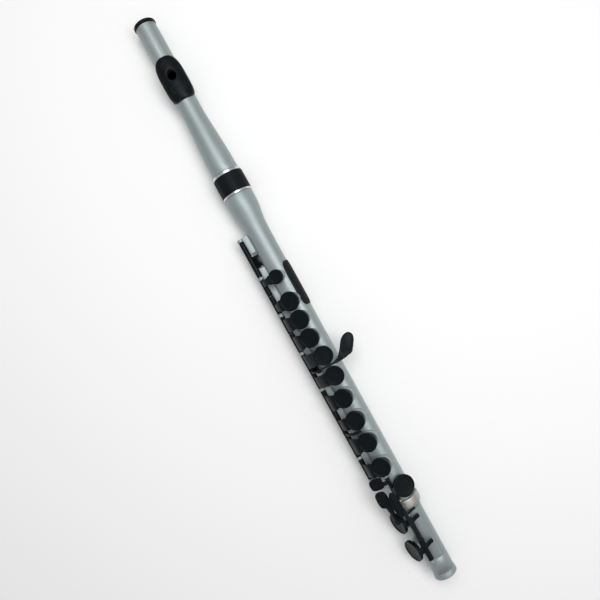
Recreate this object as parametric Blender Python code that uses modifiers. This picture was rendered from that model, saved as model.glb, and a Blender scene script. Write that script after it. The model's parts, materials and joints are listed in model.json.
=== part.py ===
"""Concert flute in moulded plastic, lying on its side-blown head, body and foot.

Every length below is in millimetres and is turned into metres by the helpers.
x runs from the crown to the foot end, y and z are measured from the bore's axis.
Angles round the tube start straight up and grow towards +Y, the player's side.
Keys are shaped closed and then turned on their rod to where they stand at rest.
"""
import math

import bmesh
import bpy
from mathutils import Matrix, Vector

MM = 0.001

# Overall frame
LENGTH = 673.8
AXIS_HEIGHT = 17.0
SIDE_SHIFT = -3.7
GAP = 0.3

# Tubes: outer radii, bores and where the joints meet
HEAD_RADIUS = 11.6
HEAD_END = 183.4
HEAD_BORE = 8.6
TENON_RADIUS = 12.6
TENON_END = 230.0
SOCKET_BORE = 12.95
SOCKET_END = 232.0
BARREL_RADIUS = 14.9
BARREL_START = 184.0
BODY_RADIUS = 12.4
BODY_BORE = 9.5
BODY_END = 590.6
COLLAR_RADIUS = 16.95
RING_RADIUS = 16.5
FOOT_RADIUS = 12.2
FOOT_SOCKET = 12.7
FOOT_START = 578.8
FOOT_RING_RADIUS = 15.9
FOOT_END = LENGTH

# Head fittings
PLATE_START = 46.3
PLATE_END = 95.8
PLATE_HALF_WIDTH = 14.5
PLATE_TOP = 16.4
BLOW_HOLE_X = 68.3
BLOW_HOLE_HALF = (6.0, 5.0)
STOPPER_FACE = 51.3
SEAL_WIDTH = 2.0
HEAD_SEAL_X = (196.0, 219.0)

# Key work on the body
ROD_Y = -21.7
ROD_Z = 0.0
ROD_RADIUS = 1.25
KEY_TUBE_RADIUS = 2.95
KEY_TUBE_BORE = 1.6
CUP_ANGLE = -11.5
OFFSET_CUP_ANGLE = 1.0
CUP_RADIUS = 10.4
KEY_OPENING = 8.0
RIM_HEIGHT = 15.0
ARM_THICKNESS = 2.2
RIB_OUTER = 18.2
RIB_HALF_HEIGHT = 1.8
POST_RADIUS = 3.6

# Key work on the foot
FOOT_ROD_ANGLE = -23.0
FOOT_ROD_DISTANCE = 16.5
FOOT_CUP_ANGLE = -75.0
FOOT_CUP_RADIUS = 11.9
FOOT_OPENING = -12.0
FOOT_TUBE_RADIUS = 3.0

# name, cup x, tube start, tube end, half width of the arm, radius of the tone hole's seat
MAIN_KEYS = (
    ("c_key", 336.8, 322.3, 343.4, 5.0, 8.4),
    ("b_key", 358.5, 347.3, 368.0, 7.5, 8.4),
    ("a_key", 380.4, 368.3, 390.3, 8.5, 8.4),
    ("f_sharp_key", 452.4, 438.3, 463.0, 9.0, 10.0),
    ("f_key", 478.7, 463.3, 487.0, 6.0, 10.0),
    ("e_key", 504.7, 493.3, 518.5, 9.5, 10.0),
    ("d_key", 534.3, 522.1, 545.7, 8.0, 10.0),
)
G_CUPS = (403.2, 427.1)
G_SHARP_X = 415.05
TEARDROP_X = 307.6
TEARDROP_RADIUS = 7.8
TRILL_CUP_X = 281.5
TRILL_CUP_ANGLE = -112.0
TRILL_CUP_RADIUS = 6.5
G_SHARP_CUP_ANGLE = -118.0
G_SHARP_CUP_RADIUS = 6.3
E_FLAT_X = 563.4
E_FLAT_ANGLE = 18.0
E_FLAT_RADIUS = 11.8
LOW_C_SHARP_X = 600.0
LOW_C_X = 633.2
SMALL_RIM_HEIGHT = 13.6
TRILL_RIM_HEIGHT = 12.9
FOOT_RIM_HEIGHT = 14.4
FOOT_SEAT_RADIUS = 9.8
E_FLAT_SEAT_RADIUS = 8.4

# Posts on the three ribs, each as its first and last x
RIBS = {
    "rib_trill": (252.0, 272.5, ((253.0, 256.0),)),
    "rib_left_hand": (290.5, 406.5, ((299.0, 302.3), (343.7, 347.0), (390.6, 394.0))),
    "rib_right_hand": (432.0, 552.0, ((434.8, 438.0), (518.8, 521.8), (546.0, 551.0))),
}

COLOURS = {
    "silver": ((0.40, 0.44, 0.45, 1.0), 0.35, 0.0),
    "black": ((0.02, 0.022, 0.025, 1.0), 0.4, 0.0),
    "steel": ((0.6, 0.6, 0.6, 1.0), 0.25, 1.0),
    "nickel": ((0.5, 0.47, 0.42, 1.0), 0.25, 1.0),
    "pad": ((0.75, 0.72, 0.65, 1.0), 0.7, 0.0),
    "rubber": ((0.03, 0.03, 0.03, 1.0), 0.8, 0.0),
}


# ---------------------------------------------------------------- helpers

def clear_scene():
    for old in list(bpy.data.objects):
        bpy.data.objects.remove(old, do_unlink=True)


def flute_collection():
    collection = bpy.data.collections.new("concert_flute")
    bpy.context.scene.collection.children.link(collection)
    return collection


def add_object(name, data):
    obj = bpy.data.objects.new(name, data)
    PARTS.objects.link(obj)
    return obj


def bake(obj):
    """Turn an object's modifiers into its own closed, outward mesh."""
    depsgraph = bpy.context.evaluated_depsgraph_get()
    mesh = bpy.data.meshes.new_from_object(obj.evaluated_get(depsgraph))
    shape = bmesh.new()
    shape.from_mesh(mesh)
    bmesh.ops.remove_doubles(shape, verts=shape.verts, dist=0.000002)
    bmesh.ops.recalc_face_normals(shape, faces=shape.faces)
    shape.to_mesh(mesh)
    shape.free()
    if obj.type == "MESH":
        obj.modifiers.clear()
        obj.data = mesh
        return obj
    solid = add_object(obj.name + "_solid", mesh)
    solid.matrix_world = obj.matrix_world.copy()
    bpy.data.objects.remove(obj, do_unlink=True)
    return solid


def turned(name, outline, segments=24, ring=False, along="X"):
    """Solid turned about its own axis; outline holds (distance along, radius)."""
    points = [(radius * MM, 0.0, distance * MM) for distance, radius in reversed(outline)]
    edges = [(i, i + 1) for i in range(len(points) - 1)]
    if ring:
        edges.append((len(points) - 1, 0))
    mesh = bpy.data.meshes.new(name)
    mesh.from_pydata(points, edges, [])
    obj = add_object(name, mesh)
    screw = obj.modifiers.new("Turn", "SCREW")
    screw.steps = segments
    screw.render_steps = segments
    screw.use_merge_vertices = True
    screw.merge_threshold = 0.00001
    bake(obj)
    if along == "X":
        obj.data.transform(Matrix.Rotation(math.radians(90.0), 4, "Y"))
    return obj


def tube(name, start, end, outer, inner, segments=24):
    outline = ((start, inner), (start, outer), (end, outer), (end, inner))
    return turned(name, outline, segments, ring=True)


def plate(name, outline, low, high, across="Z"):
    """Flat outline in mm, extruded from low to high across X or across Z."""
    curve = bpy.data.curves.new(name, "CURVE")
    curve.dimensions = "2D"
    curve.fill_mode = "BOTH"
    curve.extrude = 0.5 * (high - low) * MM
    line = curve.splines.new("POLY")
    line.points.add(len(outline) - 1)
    for point, (u, v) in zip(line.points, outline):
        point.co = (u * MM, v * MM, 0.0, 1.0)
    line.use_cyclic_u = True
    solid = bake(add_object(name + "_outline", curve))
    solid.data.transform(Matrix.Translation((0.0, 0.0, 0.5 * (high + low) * MM)))
    if across == "X":
        solid.data.transform(Matrix(((0, 0, 1, 0), (1, 0, 0, 0), (0, 1, 0, 0), (0, 0, 0, 1))))
    solid.name = name
    return solid


def strip(points, thickness):
    """Closed outline of a strip of even thickness along a line of points."""
    left, right = [], []
    for i, point in enumerate(points):
        before = Vector(points[max(i - 1, 0)])
        after = Vector(points[min(i + 1, len(points) - 1)])
        way = (after - before).normalized()
        side = Vector((-way.y, way.x)) * 0.5 * thickness
        left.append(tuple(Vector(point) + side))
        right.append(tuple(Vector(point) - side))
    return left + right[::-1]


def ellipse(centre, half, count, power=2.0):
    """Points of a rounded outline: power 2 is an ellipse, more is squarer."""
    outline = []
    for i in range(count):
        turn = 2.0 * math.pi * i / count
        c, s = math.cos(turn), math.sin(turn)
        u = math.copysign(abs(c) ** (2.0 / power), c)
        v = math.copysign(abs(s) ** (2.0 / power), s)
        outline.append((centre[0] + half[0] * u, centre[1] + half[1] * v))
    return outline


def combine(obj, operation, others):
    for other in others:
        step = obj.modifiers.new(operation, "BOOLEAN")
        step.operation = operation
        step.object = other
    bake(obj)
    for other in others:
        bpy.data.objects.remove(other, do_unlink=True)
    return obj


def lean(obj, x, angle):
    """Carry a shape made over the origin to x and round the tube to angle."""
    turn = Matrix.Rotation(math.radians(-angle), 4, "X")
    obj.data.transform(Matrix.Translation((x * MM, 0.0, 0.0)) @ turn)
    return obj


def round_point(radius, angle):
    turn = math.radians(angle)
    return (radius * math.sin(turn), radius * math.cos(turn))


def from_cup(angle, across, height):
    """Point in the y-z plane, from distances across a cup and up from the axis."""
    y, z = round_point(height, angle)
    u, v = round_point(across, angle + 90.0)
    return (y + u, z + v)


def finish(obj, colour):
    base, roughness, metallic = COLOURS[colour]
    material = bpy.data.materials.new(obj.name)
    material.use_nodes = True
    shader = material.node_tree.nodes["Principled BSDF"]
    shader.inputs["Base Color"].default_value = base
    shader.inputs["Roughness"].default_value = roughness
    shader.inputs["Metallic"].default_value = metallic
    obj.data.materials.clear()
    obj.data.materials.append(material)
    obj.data.shade_smooth()
    obj.data.set_sharp_from_angle(angle=math.radians(35.0))
    return obj


def fix(obj, colour):
    finish(obj, colour)
    obj.parent = FLUTE
    return obj


def pivot(name, y, z, turn=0.0):
    """Empty on a hinge line; turn sets how far its pieces stand from closed."""
    empty = add_object(name, None)
    empty.empty_display_size = 0.01
    empty.parent = FLUTE
    empty.location = (0.0, y * MM, z * MM)
    empty.rotation_euler.x = math.radians(turn)
    return empty


def hang(empty, obj, colour):
    finish(obj, colour)
    obj.data.transform(Matrix.Translation(-empty.location))
    obj.parent = empty
    return obj


# ---------------------------------------------------------------- cups and keys

def cup(name, x, angle, radius, rim, segments=16):
    """Key cup that covers a tone hole whose rim lies at the height rim."""
    outline = (
        (rim + 0.9, radius - 1.1),
        (rim + 0.9, radius),
        (rim + 4.6, radius),
        (rim + 4.6, radius - 1.5),
        (rim + 4.1, radius - 1.9),
        (rim + 4.1, 0.0),
    )
    inside = ((rim + 2.9, 0.0), (rim + 2.9, radius - 1.1))
    return lean(turned(name, inside + outline, segments, along="Z"), x, angle)


def pad(name, x, angle, radius, rim):
    outline = ((rim + GAP, 0.0), (rim + GAP, radius - 1.4), (rim + 2.6, radius - 1.4), (rim + 2.6, 0.0))
    return lean(turned(name, outline, 16, along="Z"), x, angle)


def key_tube(name, start, end):
    obj = tube(name, start, end, KEY_TUBE_RADIUS, KEY_TUBE_BORE, 12)
    obj.data.transform(Matrix.Translation((0.0, ROD_Y * MM, ROD_Z * MM)))
    return obj


def key_arm(name, x, half, angle, radius, rim):
    middle = (ROD_Y + 2.2, 9.2)
    line = (
        from_cup(angle, -(radius - 0.7), rim + 3.1),
        from_cup(angle, -(radius + 2.2), rim + 2.6),
        middle,
        (ROD_Y, ROD_Z + 2.2),
    )
    return plate(name, strip(line, ARM_THICKNESS), x - half, x + half, "X")


def open_key(name, x, start, end, half):
    """Open-standing key: cup, arm and hinge tube in one moulding, with its pad."""
    empty = pivot(name + "_pivot", ROD_Y, ROD_Z, KEY_OPENING)
    body = key_tube(name, start, end)
    arm = key_arm(name + "_arm", x, half, CUP_ANGLE, CUP_RADIUS, RIM_HEIGHT)
    combine(body, "UNION", [arm, cup(name + "_cup", x, CUP_ANGLE, CUP_RADIUS, RIM_HEIGHT)])
    hang(empty, body, "black")
    pad_name = name.replace("_key", "_pad")
    hang(empty, pad(pad_name, x, CUP_ANGLE, CUP_RADIUS, RIM_HEIGHT), "pad")


def make_main_keys():
    for row in MAIN_KEYS:
        open_key(*row[:5])


def make_teardrop_key():
    empty = pivot("c_sharp_pivot", ROD_Y, ROD_Z, KEY_OPENING)
    body = key_tube("c_sharp_key", 302.6, 322.0)
    arm = key_arm("c_sharp_arm", TEARDROP_X, 3.2, CUP_ANGLE, TEARDROP_RADIUS, RIM_HEIGHT)
    disc = cup("c_sharp_cup", TEARDROP_X, CUP_ANGLE, TEARDROP_RADIUS, RIM_HEIGHT)
    combine(body, "UNION", [arm, disc])
    hang(empty, body, "black")
    hang(empty, pad("c_sharp_pad", TEARDROP_X, CUP_ANGLE, TEARDROP_RADIUS, RIM_HEIGHT), "pad")


def make_g_key():
    """Two offset cups on two tubes, joined by a bridge under the rod."""
    empty = pivot("g_key_pivot", ROD_Y, ROD_Z, KEY_OPENING)
    body = key_tube("g_key", 394.3, 410.4)
    second = key_tube("g_second_tube", 419.8, 434.5)
    low = ROD_Z - KEY_TUBE_RADIUS
    back = ROD_Y - 1.8
    front = ROD_Y + 0.6
    box = ((back, low - 2.2), (front, low - 2.2), (front, low - 0.8), (back, low - 0.8))
    leg = ((back, low - 1.5), (front, low - 1.5), (front, low + 0.6), (back, low + 0.6))
    shapes = [
        second,
        plate("bridge", box, 400.0, 428.5, "X"),
        plate("bridge_leg_a", leg, 400.0, 404.0, "X"),
        plate("bridge_leg_b", leg, 424.5, 428.5, "X"),
    ]
    for i, (x, middle, half) in enumerate(zip(G_CUPS, (402.3, 427.1), (7.5, 6.5))):
        shapes.append(key_arm("g_arm_%d" % i, middle, half, OFFSET_CUP_ANGLE, CUP_RADIUS, RIM_HEIGHT))
        shapes.append(cup("g_cup_%d" % i, x, OFFSET_CUP_ANGLE, CUP_RADIUS, RIM_HEIGHT))
    combine(body, "UNION", shapes)
    hang(empty, body, "black")
    for name, x in zip(("g_pad_upper", "g_pad_lower"), G_CUPS):
        hang(empty, pad(name, x, OFFSET_CUP_ANGLE, CUP_RADIUS, RIM_HEIGHT), "pad")


def make_g_sharp_key():
    """Closed key: its lever crosses over the body between the two G cups."""
    empty = pivot("g_sharp_pivot", ROD_Y, ROD_Z)
    body = key_tube("g_sharp_key", 410.7, 419.5)
    line = ((ROD_Y, 2.2), (ROD_Y + 1.6, 12.5), (ROD_Y + 6.0, 18.4), (-8.0, 19.5), (5.0, 19.5), (12.5, 16.6),
            (17.0, 14.6))
    lever = plate("g_sharp_lever", strip(line, 2.0), G_SHARP_X - 0.95, G_SHARP_X + 0.95, "X")
    leaf = ((394.0, 29.8), (394.9, 25.6), (397.6, 21.8), (401.5, 18.6), (405.6, 15.8), (409.4, 12.6),
            (412.4, 9.6), (416.6, 9.4), (416.9, 15.0), (416.0, 20.5), (414.7, 25.8), (411.5, 28.6),
            (407.0, 31.8), (402.5, 34.4), (398.4, 34.9), (395.2, 33.2))
    touch = plate("g_sharp_touch", leaf, 13.2, 15.6)
    low_line = ((ROD_Y + 2.0, -1.0), (ROD_Y + 3.6, -4.0),
                from_cup(G_SHARP_CUP_ANGLE, 2.0, SMALL_RIM_HEIGHT + 3.9))
    low_arm = plate("g_sharp_low_arm", strip(low_line, 1.9), 413.0, 417.4, "X")
    disc = cup("g_sharp_cup", G_SHARP_X, G_SHARP_CUP_ANGLE, G_SHARP_CUP_RADIUS, SMALL_RIM_HEIGHT, 16)
    combine(body, "UNION", [lever, touch, low_arm, disc])
    hang(empty, body, "black")
    hang(empty, pad("g_sharp_pad", G_SHARP_X, G_SHARP_CUP_ANGLE, G_SHARP_CUP_RADIUS, SMALL_RIM_HEIGHT), "pad")


def make_trill_key():
    """A steel rod runs through every key tube and is pinned to cup and touch."""
    empty = pivot("trill_pivot", ROD_Y, ROD_Z)
    rod = turned("trill_rod", ((253.4, 0.0), (253.4, ROD_RADIUS), (550.4, ROD_RADIUS), (550.4, 0.0)), 12)
    rod.data.transform(Matrix.Translation((0.0, ROD_Y * MM, ROD_Z * MM)))
    hang(empty, rod, "steel")
    body = key_tube("trill_cup_key", 256.3, 298.7)
    web_line = ((ROD_Y + 1.6, -1.8), from_cup(TRILL_CUP_ANGLE, 2.4, TRILL_RIM_HEIGHT + 3.9))
    web = plate("trill_web", strip(web_line, 1.8), 278.5, 285.5, "X")
    disc = cup("trill_disc", TRILL_CUP_X, TRILL_CUP_ANGLE, TRILL_CUP_RADIUS, TRILL_RIM_HEIGHT, 16)
    combine(body, "UNION", [web, disc])
    hang(empty, body, "black")
    trill_pad = pad("trill_pad", TRILL_CUP_X, TRILL_CUP_ANGLE, TRILL_CUP_RADIUS, TRILL_RIM_HEIGHT)
    hang(empty, trill_pad, "pad")
    touch = key_tube("trill_touch", 487.3, 493.0)
    line = ((ROD_Y, 2.2), (ROD_Y + 1.8, 11.0), (ROD_Y + 7.0, 18.0), (-9.0, 20.0), (-5.5, 20.2))
    combine(touch, "UNION", [plate("trill_lever", strip(line, 2.2), 489.3, 492.3, "X")])
    hang(empty, touch, "black")


def make_thumb_lever():
    """Reversing lever under the body: the thumb lifts it and the C key closes."""
    y, z = -9.5, -14.4
    empty = pivot("thumb_pivot", y, z)
    body = tube("thumb_lever", 327.0, 343.0, 1.7, 0.95, 12)
    body.data.transform(Matrix.Translation((0.0, y * MM, z * MM)))
    line = ((y + 1.2, z), (-4.0, -15.6), (4.0, -15.8), (10.5, -14.3))
    tail_line = ((y - 1.2, z + 0.2), (-15.5, -12.6), (-18.6, -9.6))
    touch = plate("thumb_touch", strip(line, 1.3), 329.5, 344.4, "X")
    tail = plate("thumb_tail", strip(tail_line, 1.5), 331.0, 336.0, "X")
    combine(body, "UNION", [touch, tail])
    hang(empty, body, "black")
    pin = turned("thumb_rod", ((321.8, 0.0), (321.8, 0.65), (348.2, 0.65), (348.2, 0.0)), 12)
    pin.data.transform(Matrix.Translation((0.0, y * MM, z * MM)))
    fix(pin, "steel")


def make_thumb_brackets():
    """Two ears under the body carry the thumb lever's pin."""
    y, z = -9.5, -14.4
    for name, start in (("thumb_bracket_upper", 321.5), ("thumb_bracket_lower", 345.0)):
        outline = (round_point(BODY_RADIUS + GAP, -150.0), round_point(BODY_RADIUS + GAP, -128.0),
                   (y - 2.1, z + 1.2), (y - 1.9, z - 1.6), (y + 1.6, z - 1.8), (y + 2.4, z + 0.6))
        end = start + 3.4
        ear = plate(name, outline, start, end, "X")
        hole = turned("bore", ((start - 5, 0.0), (start - 5, 0.95), (end + 5, 0.95), (end + 5, 0.0)), 12)
        hole.data.transform(Matrix.Translation((0.0, y * MM, z * MM)))
        fix(combine(ear, "DIFFERENCE", [hole]), "silver")


# ---------------------------------------------------------------- head

def make_head_tube():
    grooves = []
    for x in HEAD_SEAL_X:
        grooves += [(x - 1.3, TENON_RADIUS), (x - 1.3, 11.5), (x + 1.3, 11.5), (x + 1.3, TENON_RADIUS)]
    outer = [(3.9, HEAD_RADIUS - 0.4), (5.0, HEAD_RADIUS), (104.0, HEAD_RADIUS), (130.0, 12.6), (158.0, 14.0)]
    outer += [(180.6, 14.8), (HEAD_END, 14.2), (HEAD_END, TENON_RADIUS)]
    outer += grooves + [(TENON_END, TENON_RADIUS), (TENON_END, BODY_BORE), (3.9, HEAD_BORE)]
    head = turned("head_tube", outer, ring=True)
    hole = plate("hole", ellipse((BLOW_HOLE_X, 0.0), BLOW_HOLE_HALF, 20), 4.0, 20.0)
    fix(combine(head, "DIFFERENCE", [hole]), "silver")


def make_lip_plate():
    middle = 0.5 * (PLATE_START + PLATE_END)
    half = 0.5 * (PLATE_END - PLATE_START)
    shield = plate("lip_plate", ellipse((middle, 0.0), (half, PLATE_HALF_WIDTH), 36, 2.9), 3.0, 22.0)
    crown_shape = turned("crown_shape", ((PLATE_START - 5, 0.0), (PLATE_START - 5, PLATE_TOP),
                                         (PLATE_END + 5, PLATE_TOP), (PLATE_END + 5, 0.0)), 32)
    core = turned("core", ((PLATE_START - 9, 0.0), (PLATE_START - 9, HEAD_RADIUS + GAP),
                           (PLATE_END + 9, HEAD_RADIUS + GAP), (PLATE_END + 9, 0.0)))
    hole = plate("hole", ellipse((BLOW_HOLE_X, 0.0), BLOW_HOLE_HALF, 20), 2.0, 24.0)
    combine(shield, "INTERSECT", [crown_shape])
    fix(combine(shield, "DIFFERENCE", [core, hole]), "black")


def make_crown():
    outline = ((0.0, 0.0), (0.0, 11.6), (0.8, 12.4), (3.6, 12.4), (3.6, 8.2), (8.0, 8.2),
               (8.0, 2.7), (1.6, 2.7), (1.6, 0.0))
    fix(turned("crown", outline), "black")


def make_stopper():
    groove = [(43.7, 8.2), (43.7, 7.0), (46.3, 7.0), (46.3, 8.2)]
    socket = [(47.6, 0.0), (47.6, 2.7), (38.3, 2.7), (38.3, 8.2)]
    outline = socket + groove + [(STOPPER_FACE, 8.2), (STOPPER_FACE, 0.0)]
    fix(turned("stopper_plug", outline, 16), "black")
    fix(turned("stopper_screw", ((3.6, 0.0), (3.6, 2.3), (47.2, 2.3), (47.2, 0.0)), 16), "steel")
    fix(tube("stopper_seal", 44.0, 46.0, 8.1, 7.3, 16), "rubber")


def make_head_seals():
    for name, x in zip(("head_seal_upper", "head_seal_lower"), HEAD_SEAL_X):
        fix(tube(name, x - 0.5 * SEAL_WIDTH, x + 0.5 * SEAL_WIDTH, 12.7, 11.8, 16), "rubber")


# ---------------------------------------------------------------- body

def chimney_and_hole(x, angle, rim, outer, hole):
    """A tone hole's raised seat, and the cutter that opens it to the bore."""
    seat = turned("seat", ((4.0, 0.0), (4.0, outer), (rim, outer), (rim, 0.0)), 16, along="Z")
    cutter = turned("cutter", ((3.0, 0.0), (3.0, hole), (rim + 5, hole), (rim + 5, 0.0)), 12, along="Z")
    return lean(seat, x, angle), lean(cutter, x, angle)


def seat_clearance(x, angle, rim, outer):
    """Cutter that keeps a neighbour clear of a tone hole's raised seat."""
    wide = outer + GAP
    cutter = turned("clear", ((3.0, 0.0), (3.0, wide), (rim + 5, wide), (rim + 5, 0.0)), 16, along="Z")
    return lean(cutter, x, angle)


def body_holes():
    holes = [(row[1], CUP_ANGLE, RIM_HEIGHT, row[5], 7.2) for row in MAIN_KEYS]
    holes += [(x, OFFSET_CUP_ANGLE, RIM_HEIGHT, 8.6, 7.2) for x in G_CUPS]
    holes.append((TEARDROP_X, CUP_ANGLE, RIM_HEIGHT, 6.3, 3.6))
    holes.append((TRILL_CUP_X, TRILL_CUP_ANGLE, TRILL_RIM_HEIGHT, 5.2, 3.6))
    holes.append((G_SHARP_X, G_SHARP_CUP_ANGLE, SMALL_RIM_HEIGHT, 4.9, 3.3))
    holes.append((E_FLAT_X, E_FLAT_ANGLE, RIM_HEIGHT, E_FLAT_SEAT_RADIUS, 6.2))
    return holes


def make_body_tube():
    outline = [(BARREL_START, 0.0), (BARREL_START, BARREL_RADIUS), (210.4, BARREL_RADIUS), (210.4, 16.1),
               (222.0, 15.9), (233.0, 15.3), (238.0, 14.1), (244.0, 13.2), (256.0, BODY_RADIUS),
               (BODY_END, BODY_RADIUS), (BODY_END, 0.0)]
    inside = ((BARREL_START - 5, 0.0), (BARREL_START - 5, SOCKET_BORE), (SOCKET_END, SOCKET_BORE),
              (SOCKET_END, BODY_BORE), (BODY_END + 5, BODY_BORE), (BODY_END + 5, 0.0))
    body = turned("body_tube", outline)
    pairs = [chimney_and_hole(*row) for row in body_holes()]
    combine(body, "UNION", [seat for seat, _ in pairs])
    cutters = [cutter for _, cutter in pairs] + [turned("bore", inside)]
    fix(combine(body, "DIFFERENCE", cutters), "silver")


def make_collar():
    inner = BARREL_RADIUS + GAP
    fix(tube("collar_ring_upper", 183.8, 186.4, RING_RADIUS, inner), "steel")
    fix(tube("barrel_collar", 186.7, 207.6, COLLAR_RADIUS, inner), "black")
    fix(tube("collar_ring_lower", 207.9, 210.1, RING_RADIUS, inner), "steel")


def make_ribs():
    for name, (start, end, posts) in RIBS.items():
        section = ((-RIB_OUTER, -RIB_HALF_HEIGHT), (-11.0, -RIB_HALF_HEIGHT), (-11.0, RIB_HALF_HEIGHT),
                   (-RIB_OUTER, RIB_HALF_HEIGHT))
        rib = plate(name, section, start, end, "X")
        shapes = []
        bores = []
        for first, last in posts:
            block = ((-14.0, -RIB_HALF_HEIGHT), (ROD_Y - 1.6, -POST_RADIUS), (ROD_Y - POST_RADIUS, -1.6),
                     (ROD_Y - POST_RADIUS, 1.6), (ROD_Y - 1.6, POST_RADIUS), (-14.0, RIB_HALF_HEIGHT))
            shapes.append(plate("post", block, first, last, "X"))
        combine(rib, "UNION", shapes)
        first, last = posts[0][0], posts[-1][1]
        first, last = first - 6, last + 6
        bore = turned("bore", ((first, 0.0), (first, KEY_TUBE_BORE), (last, KEY_TUBE_BORE), (last, 0.0)), 12)
        bore.data.transform(Matrix.Translation((0.0, ROD_Y * MM, ROD_Z * MM)))
        bores.append(bore)
        bores.append(turned("core", ((start - 9, 0.0), (start - 9, BODY_RADIUS + GAP),
                                     (end + 9, BODY_RADIUS + GAP), (end + 9, 0.0))))
        fix(combine(rib, "DIFFERENCE", bores), "silver")


def make_grip_pad():
    """Soft grip for the first finger, wrapped on the player's side of the body."""
    outline = ellipse((0.0, 0.0), (26.3, 8.2), 24, 4.2)
    grip = plate("grip_pad", outline, 8.0, 22.0)
    lean(grip, 322.2, 61.0)
    wide, narrow = 13.7, BODY_RADIUS + GAP
    outer = turned("outer", ((285.0, 0.0), (285.0, wide), (356.0, wide), (356.0, 0.0)), 32)
    inner = turned("inner", ((280.0, 0.0), (280.0, narrow), (361.0, narrow), (361.0, 0.0)), 32)
    combine(grip, "INTERSECT", [outer])
    seat = seat_clearance(MAIN_KEYS[0][1], CUP_ANGLE, RIM_HEIGHT, MAIN_KEYS[0][5])
    fix(combine(grip, "DIFFERENCE", [inner, seat]), "rubber")


def make_thumb_rest():
    low = -AXIS_HEIGHT
    outline = ((-8.0, low), (8.0, low), (6.4, -10.0), (-6.4, -10.0))
    rest = plate("thumb_rest", outline, 468.0, 482.0, "X")
    clear = BODY_RADIUS + GAP
    core = turned("core", ((460.0, 0.0), (460.0, clear), (490.0, clear), (490.0, 0.0)))
    fix(combine(rest, "DIFFERENCE", [core]), "black")


# ---------------------------------------------------------------- foot

def foot_rod_point():
    return round_point(FOOT_ROD_DISTANCE, FOOT_ROD_ANGLE)


def on_foot_rod(obj):
    y, z = foot_rod_point()
    obj.data.transform(Matrix.Translation((0.0, y * MM, z * MM)))
    return obj


def make_foot_tube():
    outline = [(FOOT_START + 0.3, 0.0), (FOOT_START + 0.3, 14.0), (587.0, 14.0), (587.0, FOOT_RING_RADIUS),
               (588.4, 15.2), (591.5, FOOT_RADIUS), (666.7, FOOT_RADIUS), (666.7, 11.2),
               (FOOT_END - 1.0, 11.2), (FOOT_END - 1.0, 0.0)]
    inside = ((FOOT_START - 5, 0.0), (FOOT_START - 5, FOOT_SOCKET), (592.4, FOOT_SOCKET), (592.4, BODY_BORE),
              (FOOT_END + 5, BODY_BORE), (FOOT_END + 5, 0.0))
    foot = turned("foot_tube", outline)
    pairs = []
    for x in (LOW_C_SHARP_X, LOW_C_X):
        pairs.append(chimney_and_hole(x, FOOT_CUP_ANGLE, FOOT_RIM_HEIGHT, FOOT_SEAT_RADIUS, 7.4))
    combine(foot, "UNION", [seat for seat, _ in pairs])
    fix(combine(foot, "DIFFERENCE", [cutter for _, cutter in pairs] + [turned("bore", inside)]), "silver")
    fix(tube("foot_socket_ring", FOOT_START, 586.7, FOOT_RING_RADIUS, 14.3), "nickel")
    rim = ((667.0, 11.5), (667.0, 12.3), (671.0, 12.9), (FOOT_END, 12.9), (FOOT_END, 11.5))
    fix(turned("foot_end_ring", rim, ring=True), "silver")


def make_foot_posts():
    """Two posts and a rib on the foot, and the short rib of the E-flat key."""
    low_seats = [(x, FOOT_CUP_ANGLE, FOOT_RIM_HEIGHT, FOOT_SEAT_RADIUS) for x in (LOW_C_SHARP_X, LOW_C_X)]
    e_flat_seat = [(E_FLAT_X, E_FLAT_ANGLE, RIM_HEIGHT, E_FLAT_SEAT_RADIUS)]
    sets = (("foot_rib", 592.0, 650.0, ((592.4, 595.2), (646.4, 649.6)), low_seats),
            ("e_flat_rib", 545.0, 577.4, ((545.2, 547.6), (574.6, 577.2)), e_flat_seat))
    for name, start, end, posts, nearby in sets:
        inner = FOOT_RADIUS if name == "foot_rib" else BODY_RADIUS
        base = plate(name, ((-1.8, 10.0), (1.8, 10.0), (1.8, 13.5), (-1.8, 13.5)), start, end, "X")
        lean(base, 0.0, FOOT_ROD_ANGLE)
        shapes = []
        for first, last in posts:
            block = ((-1.8, 12.8), (1.8, 12.8), (2.6, FOOT_ROD_DISTANCE), (1.2, 19.0), (-1.2, 19.0),
                     (-2.6, FOOT_ROD_DISTANCE))
            shapes.append(lean(plate("post", block, first, last, "X"), 0.0, FOOT_ROD_ANGLE))
        combine(base, "UNION", shapes)
        first, last, clear = start - 8, end + 8, inner + GAP
        bore = on_foot_rod(turned("bore", ((first, 0.0), (first, 1.4), (last, 1.4), (last, 0.0)), 12))
        core = turned("core", ((first, 0.0), (first, clear), (last, clear), (last, 0.0)))
        seats = [seat_clearance(*row) for row in nearby]
        fix(combine(base, "DIFFERENCE", [bore, core] + seats), "silver")
    for name, first, last in (("foot_rod", 592.6, 649.4), ("e_flat_rod", 545.4, 577.0)):
        pin = turned(name, ((first, 0.0), (first, 1.05), (last, 1.05), (last, 0.0)), 12)
        fix(on_foot_rod(pin), "steel")


def tilted(obj, centre, angle):
    """Lean a flat plate made round the origin and set its middle at centre."""
    turn = Matrix.Rotation(math.radians(-angle), 4, "X")
    obj.data.transform(Matrix.Translation(Vector(centre) * MM) @ turn)
    return obj


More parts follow.
